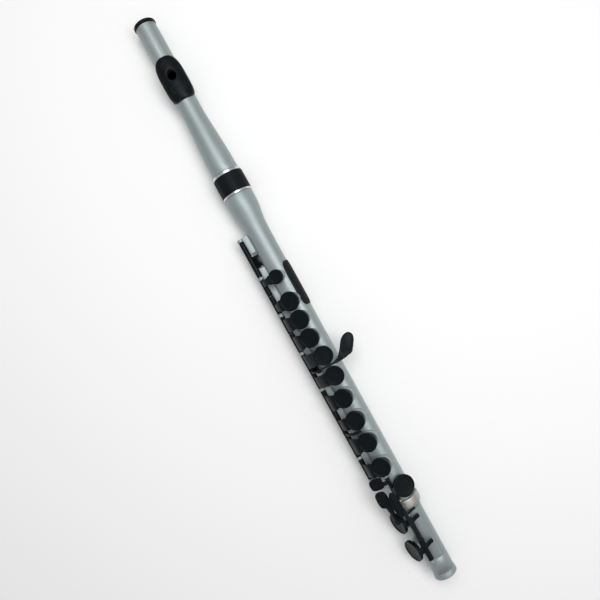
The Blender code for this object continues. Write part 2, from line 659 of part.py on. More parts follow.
def make_e_flat_key():
    """Closed see-saw key: pressing the long touch lifts the cup."""
    y, z = foot_rod_point()
    empty = pivot("e_flat_pivot", y, z)
    body = on_foot_rod(tube("e_flat_key", 547.9, 574.3, 2.1, 1.35, 12))
    disc = cup("e_flat_cup", E_FLAT_X, E_FLAT_ANGLE, E_FLAT_RADIUS, RIM_HEIGHT, 18)
    web_line = ((y, z + 1.7), from_cup(E_FLAT_ANGLE, -(E_FLAT_RADIUS - 0.5), RIM_HEIGHT + 3.7))
    web = plate("e_flat_web", strip(web_line, 1.8), 559.0, 567.0, "X")
    line = ((y - 1.6, z), (-10.6, 15.6), (-17.0, 12.9), (-20.0, 11.2))
    lever = plate("e_flat_lever", strip(line, 2.2), 550.6, 554.8, "X")
    leaf = plate("e_flat_touch", ellipse((0.0, 0.0), (6.1, 7.6), 16, 3.6), -1.2, 1.2)
    tilted(leaf, (551.0, -19.2, 11.6), -24.0)
    combine(body, "UNION", [web, disc, lever, leaf])
    hang(empty, body, "black")
    hang(empty, pad("e_flat_pad", E_FLAT_X, E_FLAT_ANGLE, E_FLAT_RADIUS, RIM_HEIGHT), "pad")


def foot_cup_with_arm(name, x, first, last):
    y, z = foot_rod_point()
    body = on_foot_rod(tube(name, first, last, FOOT_TUBE_RADIUS, 1.4, 12))
    disc = cup(name + "_cup", x, FOOT_CUP_ANGLE, FOOT_CUP_RADIUS, FOOT_RIM_HEIGHT, 18)
    line = ((y - 1.9, z + 0.2), from_cup(FOOT_CUP_ANGLE, FOOT_CUP_RADIUS - 0.5, FOOT_RIM_HEIGHT + 3.7))
    arm = plate(name + "_arm", strip(line, 2.0), x - 3.0, x + 3.0, "X")
    return body, [disc, arm]


def make_low_c_sharp_key():
    y, z = foot_rod_point()
    empty = pivot("low_c_sharp_pivot", y, z, FOOT_OPENING)
    body, shapes = foot_cup_with_arm("low_c_sharp_key", LOW_C_SHARP_X, 595.5, 613.0)
    neck = ((569.0, -2.2), (590.0, -1.7), (597.0, -3.0), (597.0, 3.0), (590.0, 1.7), (569.0, 2.2))
    shapes.append(tilted(plate("low_c_sharp_neck", neck, -1.3, 1.3), (0.0, -18.3, 11.6), -52.0))
    leaf = plate("low_c_sharp_touch", ellipse((0.0, 0.0), (9.1, 6.6), 18, 3.2), -1.2, 1.2)
    shapes.append(tilted(leaf, (567.3, -20.6, 11.2), -38.0))
    combine(body, "UNION", shapes)
    hang(empty, body, "black")
    disc = pad("low_c_sharp_pad", LOW_C_SHARP_X, FOOT_CUP_ANGLE, FOOT_CUP_RADIUS, FOOT_RIM_HEIGHT)
    hang(empty, disc, "pad")


def make_low_c_key():
    y, z = foot_rod_point()
    empty = pivot("low_c_pivot", y, z, FOOT_OPENING)
    body, shapes = foot_cup_with_arm("low_c_key", LOW_C_X, 613.3, 646.1)
    bar = ((-1.9, -1.2), (1.9, -1.2), (1.9, 1.2), (-1.9, 1.2))
    shapes.append(tilted(plate("low_c_bar", bar, 583.0, 620.0, "X"), (0.0, y - 1.6, z + 5.8), 0.0))
    root = strip(((y - 0.3, z + 1.9), (y - 1.6, z + 5.8)), 3.0)
    shapes.append(plate("low_c_root", root, 615.0, 619.6, "X"))
    leaf = plate("low_c_touch", ellipse((0.0, 0.0), (14.0, 4.9), 20, 2.4), -1.2, 1.2)
    shapes.append(tilted(leaf, (575.5, -12.1, 21.6), -14.0))
    combine(body, "UNION", shapes)
    hang(empty, body, "black")
    hang(empty, pad("low_c_pad", LOW_C_X, FOOT_CUP_ANGLE, FOOT_CUP_RADIUS, FOOT_RIM_HEIGHT), "pad")


# ---------------------------------------------------------------- build

clear_scene()
PARTS = flute_collection()
FLUTE = add_object("flute_axis", None)
FLUTE.empty_display_size = 0.02
FLUTE.location = (-0.5 * LENGTH * MM, SIDE_SHIFT * MM, AXIS_HEIGHT * MM)

make_head_tube()
make_lip_plate()
make_crown()
make_stopper()
make_head_seals()
make_body_tube()
make_collar()
make_ribs()
make_grip_pad()
make_thumb_rest()
make_main_keys()
make_teardrop_key()
make_g_key()
make_g_sharp_key()
make_trill_key()
make_thumb_lever()
make_thumb_brackets()
make_foot_tube()
make_foot_posts()
make_e_flat_key()
make_low_c_sharp_key()
make_low_c_key()
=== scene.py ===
"""Looks of a concert flute moulded in plastic.

Shapes are made in millimetres: x from the crown's face, y and z from the bore's axis.
Angles round the tube start straight up and grow towards +Y, the player's side.
Keys are shaped closed and swung on their rod to where they stand at rest.
"""
import json
import math

import bmesh
import bpy
from mathutils import Matrix, Vector

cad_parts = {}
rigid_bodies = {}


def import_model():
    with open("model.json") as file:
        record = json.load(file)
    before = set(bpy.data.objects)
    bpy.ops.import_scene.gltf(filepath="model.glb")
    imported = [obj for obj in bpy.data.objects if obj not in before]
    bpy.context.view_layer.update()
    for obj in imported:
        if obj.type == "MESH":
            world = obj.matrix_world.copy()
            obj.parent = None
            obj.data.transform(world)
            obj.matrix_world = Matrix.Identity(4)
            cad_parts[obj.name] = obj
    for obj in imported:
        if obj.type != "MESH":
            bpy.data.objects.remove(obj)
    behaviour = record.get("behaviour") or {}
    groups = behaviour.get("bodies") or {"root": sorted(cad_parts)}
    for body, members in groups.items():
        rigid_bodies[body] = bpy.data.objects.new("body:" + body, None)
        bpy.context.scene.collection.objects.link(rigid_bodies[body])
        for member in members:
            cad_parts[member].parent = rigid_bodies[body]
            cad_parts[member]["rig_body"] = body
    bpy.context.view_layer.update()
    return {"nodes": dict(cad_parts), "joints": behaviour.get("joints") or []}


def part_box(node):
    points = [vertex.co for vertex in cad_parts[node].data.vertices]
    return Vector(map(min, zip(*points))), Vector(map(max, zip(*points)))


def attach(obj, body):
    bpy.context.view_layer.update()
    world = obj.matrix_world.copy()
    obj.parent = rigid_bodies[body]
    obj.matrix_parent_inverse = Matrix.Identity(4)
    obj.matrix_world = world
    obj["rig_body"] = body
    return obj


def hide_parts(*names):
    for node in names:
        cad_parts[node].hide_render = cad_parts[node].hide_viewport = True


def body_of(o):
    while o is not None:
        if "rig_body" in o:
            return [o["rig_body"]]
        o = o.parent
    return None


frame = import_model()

# ------------------------------------------------------------ the frame's own values

MM = 0.001
END_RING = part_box("foot_end_ring")
AXIS_Y = 0.5 * (END_RING[0].y + END_RING[1].y)
AXIS_Z = 0.5 * (END_RING[0].z + END_RING[1].z)
ORIGIN = Vector((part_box("crown")[0].x, AXIS_Y, AXIS_Z))
TO_WORLD = Matrix.Translation(ORIGIN) @ Matrix.Scale(MM, 4)
JOINTS = {joint["name"]: joint for joint in frame["joints"]}


def span(node):
    """First and last x of a node, in millimetres from the crown."""
    low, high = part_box(node)
    return ((low.x - ORIGIN.x) / MM, (high.x - ORIGIN.x) / MM)


def middle_x(node):
    return 0.5 * sum(span(node))


def hinge_line(joint):
    """y and z of a hinge in millimetres from the bore's axis."""
    place = Vector(JOINTS[joint]["pos_m"]) - ORIGIN
    return (place.y / MM, place.z / MM)


ROD = hinge_line("a_key_press")
FOOT_ROD = hinge_line("low_c_press")
KEY_OPENING = JOINTS["a_key_press"]["range_deg"][1]
FOOT_OPENING = -JOINTS["low_c_press"]["range_deg"][1]
MAIN_BODIES = ("c_sharp_key", "c_key", "b_key", "a_key", "g_key", "f_sharp_key", "f_key", "e_key", "d_key")
SWING = {body: (ROD, KEY_OPENING) for body in MAIN_BODIES}
SWING["low_c_sharp_key"] = (FOOT_ROD, FOOT_OPENING)
SWING["low_c_key"] = (FOOT_ROD, FOOT_OPENING)

# ------------------------------------------------------------ sizes of the flute

CUP_ANGLE = -11.5
OFFSET_CUP_ANGLE = 1.0
TRILL_CUP_ANGLE = -112.0
G_SHARP_CUP_ANGLE = -118.0
E_FLAT_ANGLE = 18.0
FOOT_CUP_ANGLE = -75.0
CUP_RADIUS = 10.4
TEARDROP_RADIUS = 7.8
E_FLAT_RADIUS = 11.8
FOOT_CUP_RADIUS = 11.9
RIM = 15.0
SMALL_RIM = 13.6
TRILL_RIM = 12.9
FOOT_RIM = 14.4
KEY_TUBE_RADIUS = 2.95
BODY_RADIUS = 12.4
BODY_BORE = 9.5
HEAD_RADIUS = 11.6
FOOT_RADIUS = 12.2
BLOW_HOLE = (68.3, 0.0)
BLOW_HALF = (6.0, 5.0)
FINE = 128
MEDIUM = 64

# ------------------------------------------------------------ shape helpers


def smooth_ends(points, radius, steps=4):
    """Profile with its corners rounded by arcs; end points stay where they are."""
    made = [Vector(points[0])]
    for before, corner, after in zip(points, points[1:], points[2:]):
        before, corner, after = Vector(before), Vector(corner), Vector(after)
        back = before - corner
        ahead = after - corner
        reach = min(radius, 0.45 * back.length, 0.45 * ahead.length)
        start = corner + back.normalized() * reach
        end = corner + ahead.normalized() * reach
        for i in range(steps + 1):
            t = i / steps
            made.append(start.lerp(corner, t).lerp(corner.lerp(end, t), t))
    made.append(Vector(points[-1]))
    return [tuple(point) for point in made]


def eased(first, last, count=16):
    """Points of a soft S-curve between two (x, radius) points."""
    made = []
    for i in range(count + 1):
        t = i / count
        s = t * t * (3.0 - 2.0 * t)
        made.append((first[0] + (last[0] - first[0]) * t, first[1] + (last[1] - first[1]) * s))
    return made


def object_from(name, vertices, faces):
    mesh = bpy.data.meshes.new(name)
    mesh.from_pydata([tuple(v) for v in vertices], [], faces)
    obj = bpy.data.objects.new(name, mesh)
    bpy.context.scene.collection.objects.link(obj)
    return obj


def mend(obj, distance=0.002):
    """Weld doubles and turn every face outwards."""
    shape = bmesh.new()
    shape.from_mesh(obj.data)
    bmesh.ops.remove_doubles(shape, verts=shape.verts, dist=distance)
    bmesh.ops.recalc_face_normals(shape, faces=shape.faces)
    shape.to_mesh(obj.data)
    shape.free()
    return obj


def joined(layers, count):
    """Faces between rings of points, each ring given by the number of its first point."""
    faces = []
    for a, b in zip(layers, layers[1:]):
        for i in range(count):
            j = (i + 1) % count
            faces.append((a + i, a + j, b + j, b + i))
    return faces


def turned(name, outline, segments=MEDIUM, ring=False, along="X", soft=0.0):
    """Solid of revolution from (distance along, radius) points."""
    if soft:
        if ring:
            outline = smooth_ends(list(outline) + [outline[0], outline[1]], soft)[1:-1]
        else:
            outline = smooth_ends(outline, soft)
    vertices = []
    starts = []
    for distance, radius in outline:
        starts.append(len(vertices))
        if radius < 1e-6:
            vertices.append((0.0, 0.0, distance))
            continue
        for i in range(segments):
            turn = 2.0 * math.pi * i / segments
            vertices.append((radius * math.cos(turn), radius * math.sin(turn), distance))
    sizes = [1 if radius < 1e-6 else segments for _, radius in outline]
    pairs = list(zip(range(len(outline) - 1), range(1, len(outline))))
    if ring:
        pairs.append((len(outline) - 1, 0))
    faces = []
    for a, b in pairs:
        for i in range(segments):
            j = (i + 1) % segments
            corners = [starts[a] + i % sizes[a], starts[a] + j % sizes[a],
                       starts[b] + j % sizes[b], starts[b] + i % sizes[b]]
            corners = list(dict.fromkeys(corners))
            if len(corners) > 2:
                faces.append(corners)
    obj = mend(object_from(name, vertices, faces))
    if along == "X":
        obj.data.transform(Matrix.Rotation(math.radians(90.0), 4, "Y"))
    return obj


def tube(name, start, end, outer, inner, segments=MEDIUM, soft=0.3):
    outline = ((start, inner), (start, outer), (end, outer), (end, inner))
    return turned(name, outline, segments, ring=True, soft=soft)


def solid_rod(name, start, end, radius, segments, along="X", soft=0.0):
    outline = ((start, 0.0), (start, radius), (end, radius), (end, 0.0))
    return turned(name, outline, segments, along=along, soft=soft)


def plate(name, outlines, low, high, edge=0.4, across="Z", curved=True):
    """Flat outline with rounded edges; further outlines are holes in it."""
    curve = bpy.data.curves.new(name, "CURVE")
    curve.dimensions = "2D"
    curve.fill_mode = "BOTH"
    curve.extrude = 0.5 * (high - low) - edge
    curve.bevel_depth = edge
    curve.bevel_resolution = 2
    curve.offset = -edge
    curve.resolution_u = 8
    for outline in outlines:
        line = curve.splines.new("BEZIER" if curved else "POLY")
        if curved:
            line.bezier_points.add(len(outline) - 1)
            for point, (u, v) in zip(line.bezier_points, outline):
                point.co = (u, v, 0.0)
                point.handle_left_type = "AUTO"
                point.handle_right_type = "AUTO"
        else:
            line.points.add(len(outline) - 1)
            for point, (u, v) in zip(line.points, outline):
                point.co = (u, v, 0.0, 1.0)
        line.use_cyclic_u = True
    holder = bpy.data.objects.new(name + "_outline", curve)
    bpy.context.scene.collection.objects.link(holder)
    bpy.context.view_layer.update()
    mesh = bpy.data.meshes.new_from_object(holder.evaluated_get(bpy.context.evaluated_depsgraph_get()))
    bpy.data.objects.remove(holder, do_unlink=True)
    obj = bpy.data.objects.new(name, mesh)
    bpy.context.scene.collection.objects.link(obj)
    mend(obj)
    mesh.transform(Matrix.Translation((0.0, 0.0, 0.5 * (low + high))))
    if across == "X":
        mesh.transform(Matrix(((0, 0, 1, 0), (1, 0, 0, 0), (0, 1, 0, 0), (0, 0, 0, 1))))
    return obj


def strip(points, thickness, count=18):
    """Outline of a strip of even thickness along a smooth line through points."""
    line = smooth_line(points, count)
    left, right = [], []
    for i, point in enumerate(line):
        way = (line[min(i + 1, len(line) - 1)] - line[max(i - 1, 0)]).normalized()
        side = Vector((-way.y, way.x)) * 0.5 * thickness
        left.append(tuple(point + side))
        right.append(tuple(point - side))
    return left + right[::-1]


def smooth_line(points, count):
    """Catmull-Rom line through a few points."""
    knots = [Vector(p) for p in points]
    knots = [knots[0] * 2 - knots[1]] + knots + [knots[-1] * 2 - knots[-2]]
    made = []
    spans = len(knots) - 3
    for i in range(count + 1):
        at = min(i * spans / count, spans - 1e-6)
        k = int(at)
        t = at - k
        a, b, c, d = knots[k:k + 4]
        made.append(0.5 * (2 * b + (c - a) * t + (2 * a - 5 * b + 4 * c - d) * t * t
                           + (3 * b - a - 3 * c + d) * t ** 3))
    return made


def swept(name, stations, thickness, edge=0.5, count=20):
    """Bar along a line in the y-z plane; each station is y, z and the bar's two x ends."""
    line = smooth_line(stations, count)
    half = 0.5 * thickness
    vertices = []
    faces = []
    for i, (y, z, low, high) in enumerate(line):
        before, after = line[max(i - 1, 0)], line[min(i + 1, count)]
        way = Vector((after[0] - before[0], after[1] - before[1])).normalized()
        corners = ((high - edge, half - edge, 0.0), (low + edge, half - edge, 90.0),
                   (low + edge, edge - half, 180.0), (high - edge, edge - half, 270.0))
        for x, rise, start in corners:
            for k in range(4):
                turn = math.radians(start + 30.0 * k)
                out = rise + edge * math.sin(turn)
                vertices.append((x + edge * math.cos(turn), y - way.y * out, z + way.x * out))
        if i:
            ring = 16 * i
            for k in range(16):
                ahead = (k + 1) % 16
                faces.append((ring - 16 + k, ring - 16 + ahead, ring + ahead, ring + k))
    faces.append(tuple(range(16)))
    faces.append(tuple(range(16 * count, 16 * count + 16)))
    return mend(object_from(name, vertices, faces))


def rounded_outline(centre, half, count, power=2.0):
    """Points of a rounded outline: power 2 is an ellipse, more is squarer."""
    outline = []
    for i in range(count):
        turn = 2.0 * math.pi * i / count
        c, s = math.cos(turn), math.sin(turn)
        u = math.copysign(abs(c) ** (2.0 / power), c)
        v = math.copysign(abs(s) ** (2.0 / power), s)
        outline.append((centre[0] + half[0] * u, centre[1] + half[1] * v))
    return outline


def lean(obj, x, angle):
    """Carry a shape made over the origin to x and round the tube to angle."""
    obj.data.transform(Matrix.Translation((x, 0.0, 0.0)) @ Matrix.Rotation(math.radians(-angle), 4, "X"))
    return obj


def tilted(obj, centre, angle):
    """Lean a flat plate made round the origin and set its middle at centre."""
    obj.data.transform(Matrix.Translation(Vector(centre)) @ Matrix.Rotation(math.radians(-angle), 4, "X"))
    return obj


def onto(obj, line):
    obj.data.transform(Matrix.Translation((0.0, line[0], line[1])))
    return obj


def round_point(radius, angle):
    turn = math.radians(angle)
    return (radius * math.sin(turn), radius * math.cos(turn))


def from_cup(angle, across, height):
    """Point in the y-z plane, from distances across a cup and up from the axis."""
    y, z = round_point(height, angle)
    u, v = round_point(across, angle + 90.0)
    return (y + u, z + v)


def cut(obj, cutters):
    for cutter in cutters:
        step = obj.modifiers.new("cut", "BOOLEAN")
        step.operation = "DIFFERENCE"
        step.object = cutter
    bpy.context.view_layer.update()
    mesh = bpy.data.meshes.new_from_object(obj.evaluated_get(bpy.context.evaluated_depsgraph_get()))
    obj.modifiers.clear()
    obj.data = mesh
    for cutter in cutters:
        bpy.data.objects.remove(cutter, do_unlink=True)
    return obj


def round_normals(obj, line=(0.0, 0.0)):
    """Faces that lie round the axis take the exact normal of the turned surface."""
    mesh = obj.data
    normals = []
    for face in mesh.polygons:
        flat = face.normal
        for loop in face.loop_indices:
            place = mesh.vertices[mesh.loops[loop].vertex_index].co
            radial = Vector((0.0, place.y - line[0], place.z - line[1])).normalized()
            if abs(flat.dot(radial)) < 0.9:
                normals.append(flat.copy())
                continue
            side = math.copysign(math.sqrt(max(0.0, 1.0 - flat.x ** 2)), flat.dot(radial))
            normals.append(Vector((flat.x, radial.y * side, radial.z * side)))
    mesh.normals_split_custom_set(normals)


# ------------------------------------------------------------ materials


def socket(group, name, way, kind, value=None):
    made = group.interface.new_socket(name=name, in_out=way, socket_type=kind)
    if value is not None:
        made.default_value = value
    return made


def node(tree, kind, **settings):
    made = tree.nodes.new(kind)
    for key, value in settings.items():
        setattr(made, key, value)
    return made


def wire(tree, start, out, end, into):
    tree.links.new(start.outputs[out], end.inputs[into])


def mix_colour(tree, factor, first, second, blend="MIX"):
    """Colour mix node; factor, first and second are (node, socket) pairs or values."""
    mix = node(tree, "ShaderNodeMix", data_type="RGBA", blend_type=blend)
    for index, given in ((0, factor), (6, first), (7, second)):
        if isinstance(given, tuple) and hasattr(given[0], "outputs"):
            tree.links.new(given[0].outputs[given[1]], mix.inputs[index])
        else:
            mix.inputs[index].default_value = given
    return (mix, 2)


def spread(tree, source, low, high, from_low=0.0, from_high=1.0):
    """Map Range node that spreads a (node, socket) value from low to high."""
    ranger = node(tree, "ShaderNodeMapRange")
    ranger.inputs["From Min"].default_value = from_low
    ranger.inputs["From Max"].default_value = from_high
    ranger.inputs["To Min"].default_value = low
    ranger.inputs["To Max"].default_value = high
    tree.links.new(source[0].outputs[source[1]], ranger.inputs["Value"])
    return (ranger, "Result")


def moulded_grain_group():
    """Fine mould texture: tone mottling, roughness drift and a shallow bump."""
    group = bpy.data.node_groups.new("moulded_grain", "ShaderNodeTree")
    socket(group, "Base", "INPUT", "NodeSocketColor", (0.5, 0.5, 0.5, 1.0))
    socket(group, "Drift", "INPUT", "NodeSocketColor", (0.6, 0.6, 0.6, 1.0))
    socket(group, "Roughness Low", "INPUT", "NodeSocketFloat", 0.3)
    socket(group, "Roughness High", "INPUT", "NodeSocketFloat", 0.4)
    socket(group, "Grain Scale", "INPUT", "NodeSocketFloat", 2500.0)
    socket(group, "Grain Depth", "INPUT", "NodeSocketFloat", 0.1)
    socket(group, "Color", "OUTPUT", "NodeSocketColor")
    socket(group, "Roughness", "OUTPUT", "NodeSocketFloat")
    socket(group, "Normal", "OUTPUT", "NodeSocketVector")
    entry = node(group, "NodeGroupInput")
    leave = node(group, "NodeGroupOutput")
    place = node(group, "ShaderNodeTexCoord")
    cloud = node(group, "ShaderNodeTexNoise")
    cloud.inputs["Scale"].default_value = 60.0
    cloud.inputs["Detail"].default_value = 5.0
    wire(group, place, "Object", cloud, "Vector")
    grain = node(group, "ShaderNodeTexNoise")
    grain.inputs["Detail"].default_value = 3.0
    wire(group, place, "Object", grain, "Vector")
    wire(group, entry, "Grain Scale", grain, "Scale")
    cloudy = spread(group, (cloud, "Fac"), 0.0, 1.0, 0.35, 0.65)
    tone = mix_colour(group, cloudy, (entry, "Base"), (entry, "Drift"))
    rough = node(group, "ShaderNodeMapRange")
    wire(group, cloud, "Fac", rough, "Value")
    rough.inputs["From Min"].default_value = 0.3
    rough.inputs["From Max"].default_value = 0.7
    wire(group, entry, "Roughness Low", rough, "To Min")
    wire(group, entry, "Roughness High", rough, "To Max")
    bump = node(group, "ShaderNodeBump")
    bump.inputs["Distance"].default_value = 0.0001
    wire(group, grain, "Fac", bump, "Height")
    wire(group, entry, "Grain Depth", bump, "Strength")
    group.links.new(tone[0].outputs[tone[1]], leave.inputs["Color"])
    wire(group, rough, "Result", leave, "Roughness")
    wire(group, bump, "Normal", leave, "Normal")
    return group


def edge_wear_group():
    """Handling wear: edges and a few scattered rubs turn lighter and smoother."""
    group = bpy.data.node_groups.new("edge_wear", "ShaderNodeTree")
    socket(group, "Color", "INPUT", "NodeSocketColor", (0.5, 0.5, 0.5, 1.0))
    socket(group, "Worn", "INPUT", "NodeSocketColor", (0.7, 0.7, 0.7, 1.0))
    socket(group, "Roughness", "INPUT", "NodeSocketFloat", 0.4)
    socket(group, "Amount", "INPUT", "NodeSocketFloat", 0.4)
    socket(group, "Color", "OUTPUT", "NodeSocketColor")
    socket(group, "Roughness", "OUTPUT", "NodeSocketFloat")
    entry = node(group, "NodeGroupInput")
    leave = node(group, "NodeGroupOutput")
    shape = node(group, "ShaderNodeNewGeometry")
    place = node(group, "ShaderNodeTexCoord")
    rubs = node(group, "ShaderNodeTexNoise")
    rubs.inputs["Scale"].default_value = 420.0
    rubs.inputs["Detail"].default_value = 6.0
    wire(group, place, "Object", rubs, "Vector")
    edge = spread(group, (shape, "Pointiness"), 0.0, 1.0, 0.52, 0.62)
    broken = spread(group, (rubs, "Fac"), 0.2, 1.0, 0.4, 0.6)
    both = node(group, "ShaderNodeMath", operation="MULTIPLY")
    group.links.new(edge[0].outputs[edge[1]], both.inputs[0])
    group.links.new(broken[0].outputs[broken[1]], both.inputs[1])
    amount = node(group, "ShaderNodeMath", operation="MULTIPLY")
    wire(group, both, "Value", amount, 0)
    wire(group, entry, "Amount", amount, 1)
    worn = mix_colour(group, (amount, "Value"), (entry, "Color"), (entry, "Worn"))
    group.links.new(worn[0].outputs[worn[1]], leave.inputs["Color"])
    smoother = node(group, "ShaderNodeMath", operation="MULTIPLY_ADD")
    wire(group, amount, "Value", smoother, 0)
    smoother.inputs[1].default_value = -0.12
    wire(group, entry, "Roughness", smoother, 2)
    wire(group, smoother, "Value", leave, "Roughness")
    return group


GRAIN = moulded_grain_group()
WEAR = edge_wear_group()


def grained(name, base, drift, rough, grain_scale, grain_depth, worn, wear):
    """Principled material fed by the grain and wear groups; returns its tree."""
    material = bpy.data.materials.new(name)
    material.use_nodes = True
    tree = material.node_tree
    shader = tree.nodes["Principled BSDF"]
    grain = node(tree, "ShaderNodeGroup", node_tree=GRAIN)
    grain.inputs["Base"].default_value = base + (1.0,)
    grain.inputs["Drift"].default_value = drift + (1.0,)
    grain.inputs["Roughness Low"].default_value = rough[0]
    grain.inputs["Roughness High"].default_value = rough[1]
    grain.inputs["Grain Scale"].default_value = grain_scale
    grain.inputs["Grain Depth"].default_value = grain_depth
    edge = node(tree, "ShaderNodeGroup", node_tree=WEAR)
    edge.inputs["Worn"].default_value = worn + (1.0,)
    edge.inputs["Amount"].default_value = wear
    wire(tree, grain, "Color", edge, "Color")
    wire(tree, grain, "Roughness", edge, "Roughness")
    wire(tree, edge, "Color", shader, "Base Color")
    wire(tree, edge, "Roughness", shader, "Roughness")
    wire(tree, grain, "Normal", shader, "Normal")
    return material, shader


def silver_plastic():
    """Silver-grey plastic with fine metal flake under a satin skin."""
    material, shader = grained("silver_plastic", (0.325, 0.375, 0.378), (0.345, 0.395, 0.398), (0.50, 0.58),
                               2600.0, 0.12, (0.62, 0.66, 0.66), 0.35)
    tree = material.node_tree
    wear = shader.inputs["Base Color"].links[0].from_node
    place = node(tree, "ShaderNodeTexCoord")
    flakes = node(tree, "ShaderNodeTexVoronoi")
    flakes.inputs["Scale"].default_value = 5200.0
    wire(tree, place, "Object", flakes, "Vector")
    glint = spread(tree, (flakes, "Color"), 0.86, 1.16)
    colour = mix_colour(tree, 1.0, (wear, "Color"), glint, "MULTIPLY")
    tree.links.new(colour[0].outputs[colour[1]], shader.inputs["Base Color"])
    shader.inputs["Metallic"].default_value = 0.7
    return material


def black_plastic():
    material, shader = grained("black_plastic", (0.002, 0.0045, 0.006), (0.003, 0.0055, 0.007), (0.34, 0.42),
                               2400.0, 0.16, (0.07, 0.075, 0.08), 0.5)
    shader.inputs["Specular IOR Level"].default_value = 0.12
    return material


def collar_plastic():
    material, shader = grained("collar_plastic", (0.0025, 0.005, 0.0065), (0.0035, 0.006, 0.0075),
                               (0.48, 0.58),
                               1500.0, 0.4, (0.03, 0.033, 0.036), 0.4)
    shader.inputs["Specular IOR Level"].default_value = 0.12
    return material


def grip_rubber():
    material, shader = grained("grip_rubber", (0.003, 0.0055, 0.007), (0.004, 0.0065, 0.008), (0.55, 0.68),
                               1300.0, 0.55, (0.03, 0.033, 0.036), 0.3)
    shader.inputs["Specular IOR Level"].default_value = 0.18
    return material


def seal_rubber():
    material, _ = grained("seal_rubber", (0.012, 0.012, 0.012), (0.02, 0.02, 0.02), (0.6, 0.75),
                               900.0, 0.4, (0.05, 0.05, 0.05), 0.2)
    return material


def pad_silicone():
    material, shader = grained("pad_silicone", (0.028, 0.030, 0.032), (0.038, 0.040, 0.042), (0.5, 0.62),
                               1200.0, 0.3, (0.09, 0.09, 0.09), 0.3)
    shader.inputs["Specular IOR Level"].default_value = 0.3
    return material


def turned_metal(name, base, drift, rough, ring_scale, ring_depth):
    """Metal with the faint circular marks that turning leaves."""
    material, shader = grained(name, base, drift, rough, 1800.0, 0.05, (0.85, 0.84, 0.82), 0.3)
    tree = material.node_tree
    place = node(tree, "ShaderNodeTexCoord")
    rings = node(tree, "ShaderNodeTexWave", wave_type="BANDS", bands_direction="X")
    rings.inputs["Scale"].default_value = ring_scale
    rings.inputs["Distortion"].default_value = 1.5
    rings.inputs["Detail"].default_value = 2.0
    wire(tree, place, "Object", rings, "Vector")
    bump = node(tree, "ShaderNodeBump")
    bump.inputs["Strength"].default_value = ring_depth
    bump.inputs["Distance"].default_value = 0.00005
    wire(tree, rings, "Fac", bump, "Height")
    grain = shader.inputs["Normal"].links[0].from_node
    wire(tree, grain, "Normal", bump, "Normal")
    wire(tree, bump, "Normal", shader, "Normal")
    shader.inputs["Metallic"].default_value = 1.0
    return material


LOOKS = {
    "silver": (silver_plastic(), "silver_plastic"),
    "black": (black_plastic(), "black_plastic"),
    "collar": (collar_plastic(), "black_plastic"),
    "grip": (grip_rubber(), "grip_rubber"),
    "rubber": (seal_rubber(), "seal_rubber"),
    "pad": (pad_silicone(), "pad_silicone"),
    "chrome": (turned_metal("collar_chrome", (0.62, 0.635, 0.64), (0.68, 0.69, 0.69),
                            (0.24, 0.32), 900.0, 0.12),
               "collar_chrome"),
    "steel": (turned_metal("rod_steel", (0.55, 0.555, 0.56), (0.62, 0.62, 0.62), (0.22, 0.3), 1500.0, 0.2),
              "rod_steel"),
    "nickel": (turned_metal("foot_nickel", (0.47, 0.455, 0.42), (0.52, 0.50, 0.465),
                            (0.40, 0.50), 1100.0, 0.2),
               "foot_nickel"),
}


# ------------------------------------------------------------ handing a shape over


def deliver(obj, body, look, nodes=(), at_rest=False, sharp=38.0):
    """Swing, place, shade, colour and hang a finished shape on its body."""
    if body in SWING and not at_rest:
        line, degrees = SWING[body]
        turn = Matrix.Rotation(math.radians(degrees), 4, "X")
        there = Matrix.Translation((0.0, line[0], line[1]))
        obj.data.transform(there @ turn @ there.inverted())
    obj.data.transform(TO_WORLD)
    material, slot = LOOKS[look]
    obj.data.materials.clear()
    obj.data.materials.append(material)
    obj.data.shade_smooth()
    obj.data.set_sharp_from_angle(angle=math.radians(sharp))
    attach(obj, body)
    if nodes:
        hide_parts(*nodes)
    return obj


def soften(node_name, look, bevel):
    """Piece with a node's own shape and softened edges."""
    source = frame["nodes"][node_name]
    mesh = source.data.copy()
    mesh.transform(source.matrix_world)
    rough = bpy.data.objects.new(node_name + "_sharp", mesh)
    bpy.context.scene.collection.objects.link(rough)
    edge = rough.modifiers.new("soft_edges", "BEVEL")
    edge.width = bevel * MM
    edge.segments = 2
    edge.limit_method = "ANGLE"
    edge.angle_limit = math.radians(35.0)
    bpy.context.view_layer.update()
    shape = bpy.data.meshes.new_from_object(rough.evaluated_get(bpy.context.evaluated_depsgraph_get()))
    shape.transform(TO_WORLD.inverted())
    bpy.data.objects.remove(rough, do_unlink=True)
    piece = bpy.data.objects.new(node_name + "_soft", shape)
    bpy.context.scene.collection.objects.link(piece)
    return deliver(piece, body_of(source)[0], look, [node_name], at_rest=True)


# ------------------------------------------------------------ keys


def cup(name, x, angle, radius, rim):
    outline = ((rim + 2.9, 0.0), (rim + 2.9, radius - 1.15), (rim + 0.9, radius - 1.15), (rim + 0.9, radius),
               (rim + 4.6, radius), (rim + 4.6, radius - 1.45), (rim + 3.95, radius - 1.95),
               (rim + 3.75, 0.45 * radius), (rim + 3.75, 0.0))
    return lean(turned(name, outline, MEDIUM, along="Z", soft=0.45), x, angle)


def pad(name, x, angle, radius, rim):
    edge = radius - 1.45
    outline = ((rim + 2.8, 0.0), (rim + 2.8, edge), (rim + 0.35, edge), (rim + 0.35, edge - 1.2),
               (rim + 0.5, edge - 1.6), (rim + 0.5, edge - 2.6), (rim + 0.35, edge - 3.0), (rim + 0.35, 0.0))
    return lean(turned(name, outline, MEDIUM, along="Z", soft=0.4), x, angle)


def hinge_tube(name, start, end, line=ROD, radius=KEY_TUBE_RADIUS, bore=1.6):
    return onto(tube(name, start, end, radius, bore, 40, soft=0.35), line)


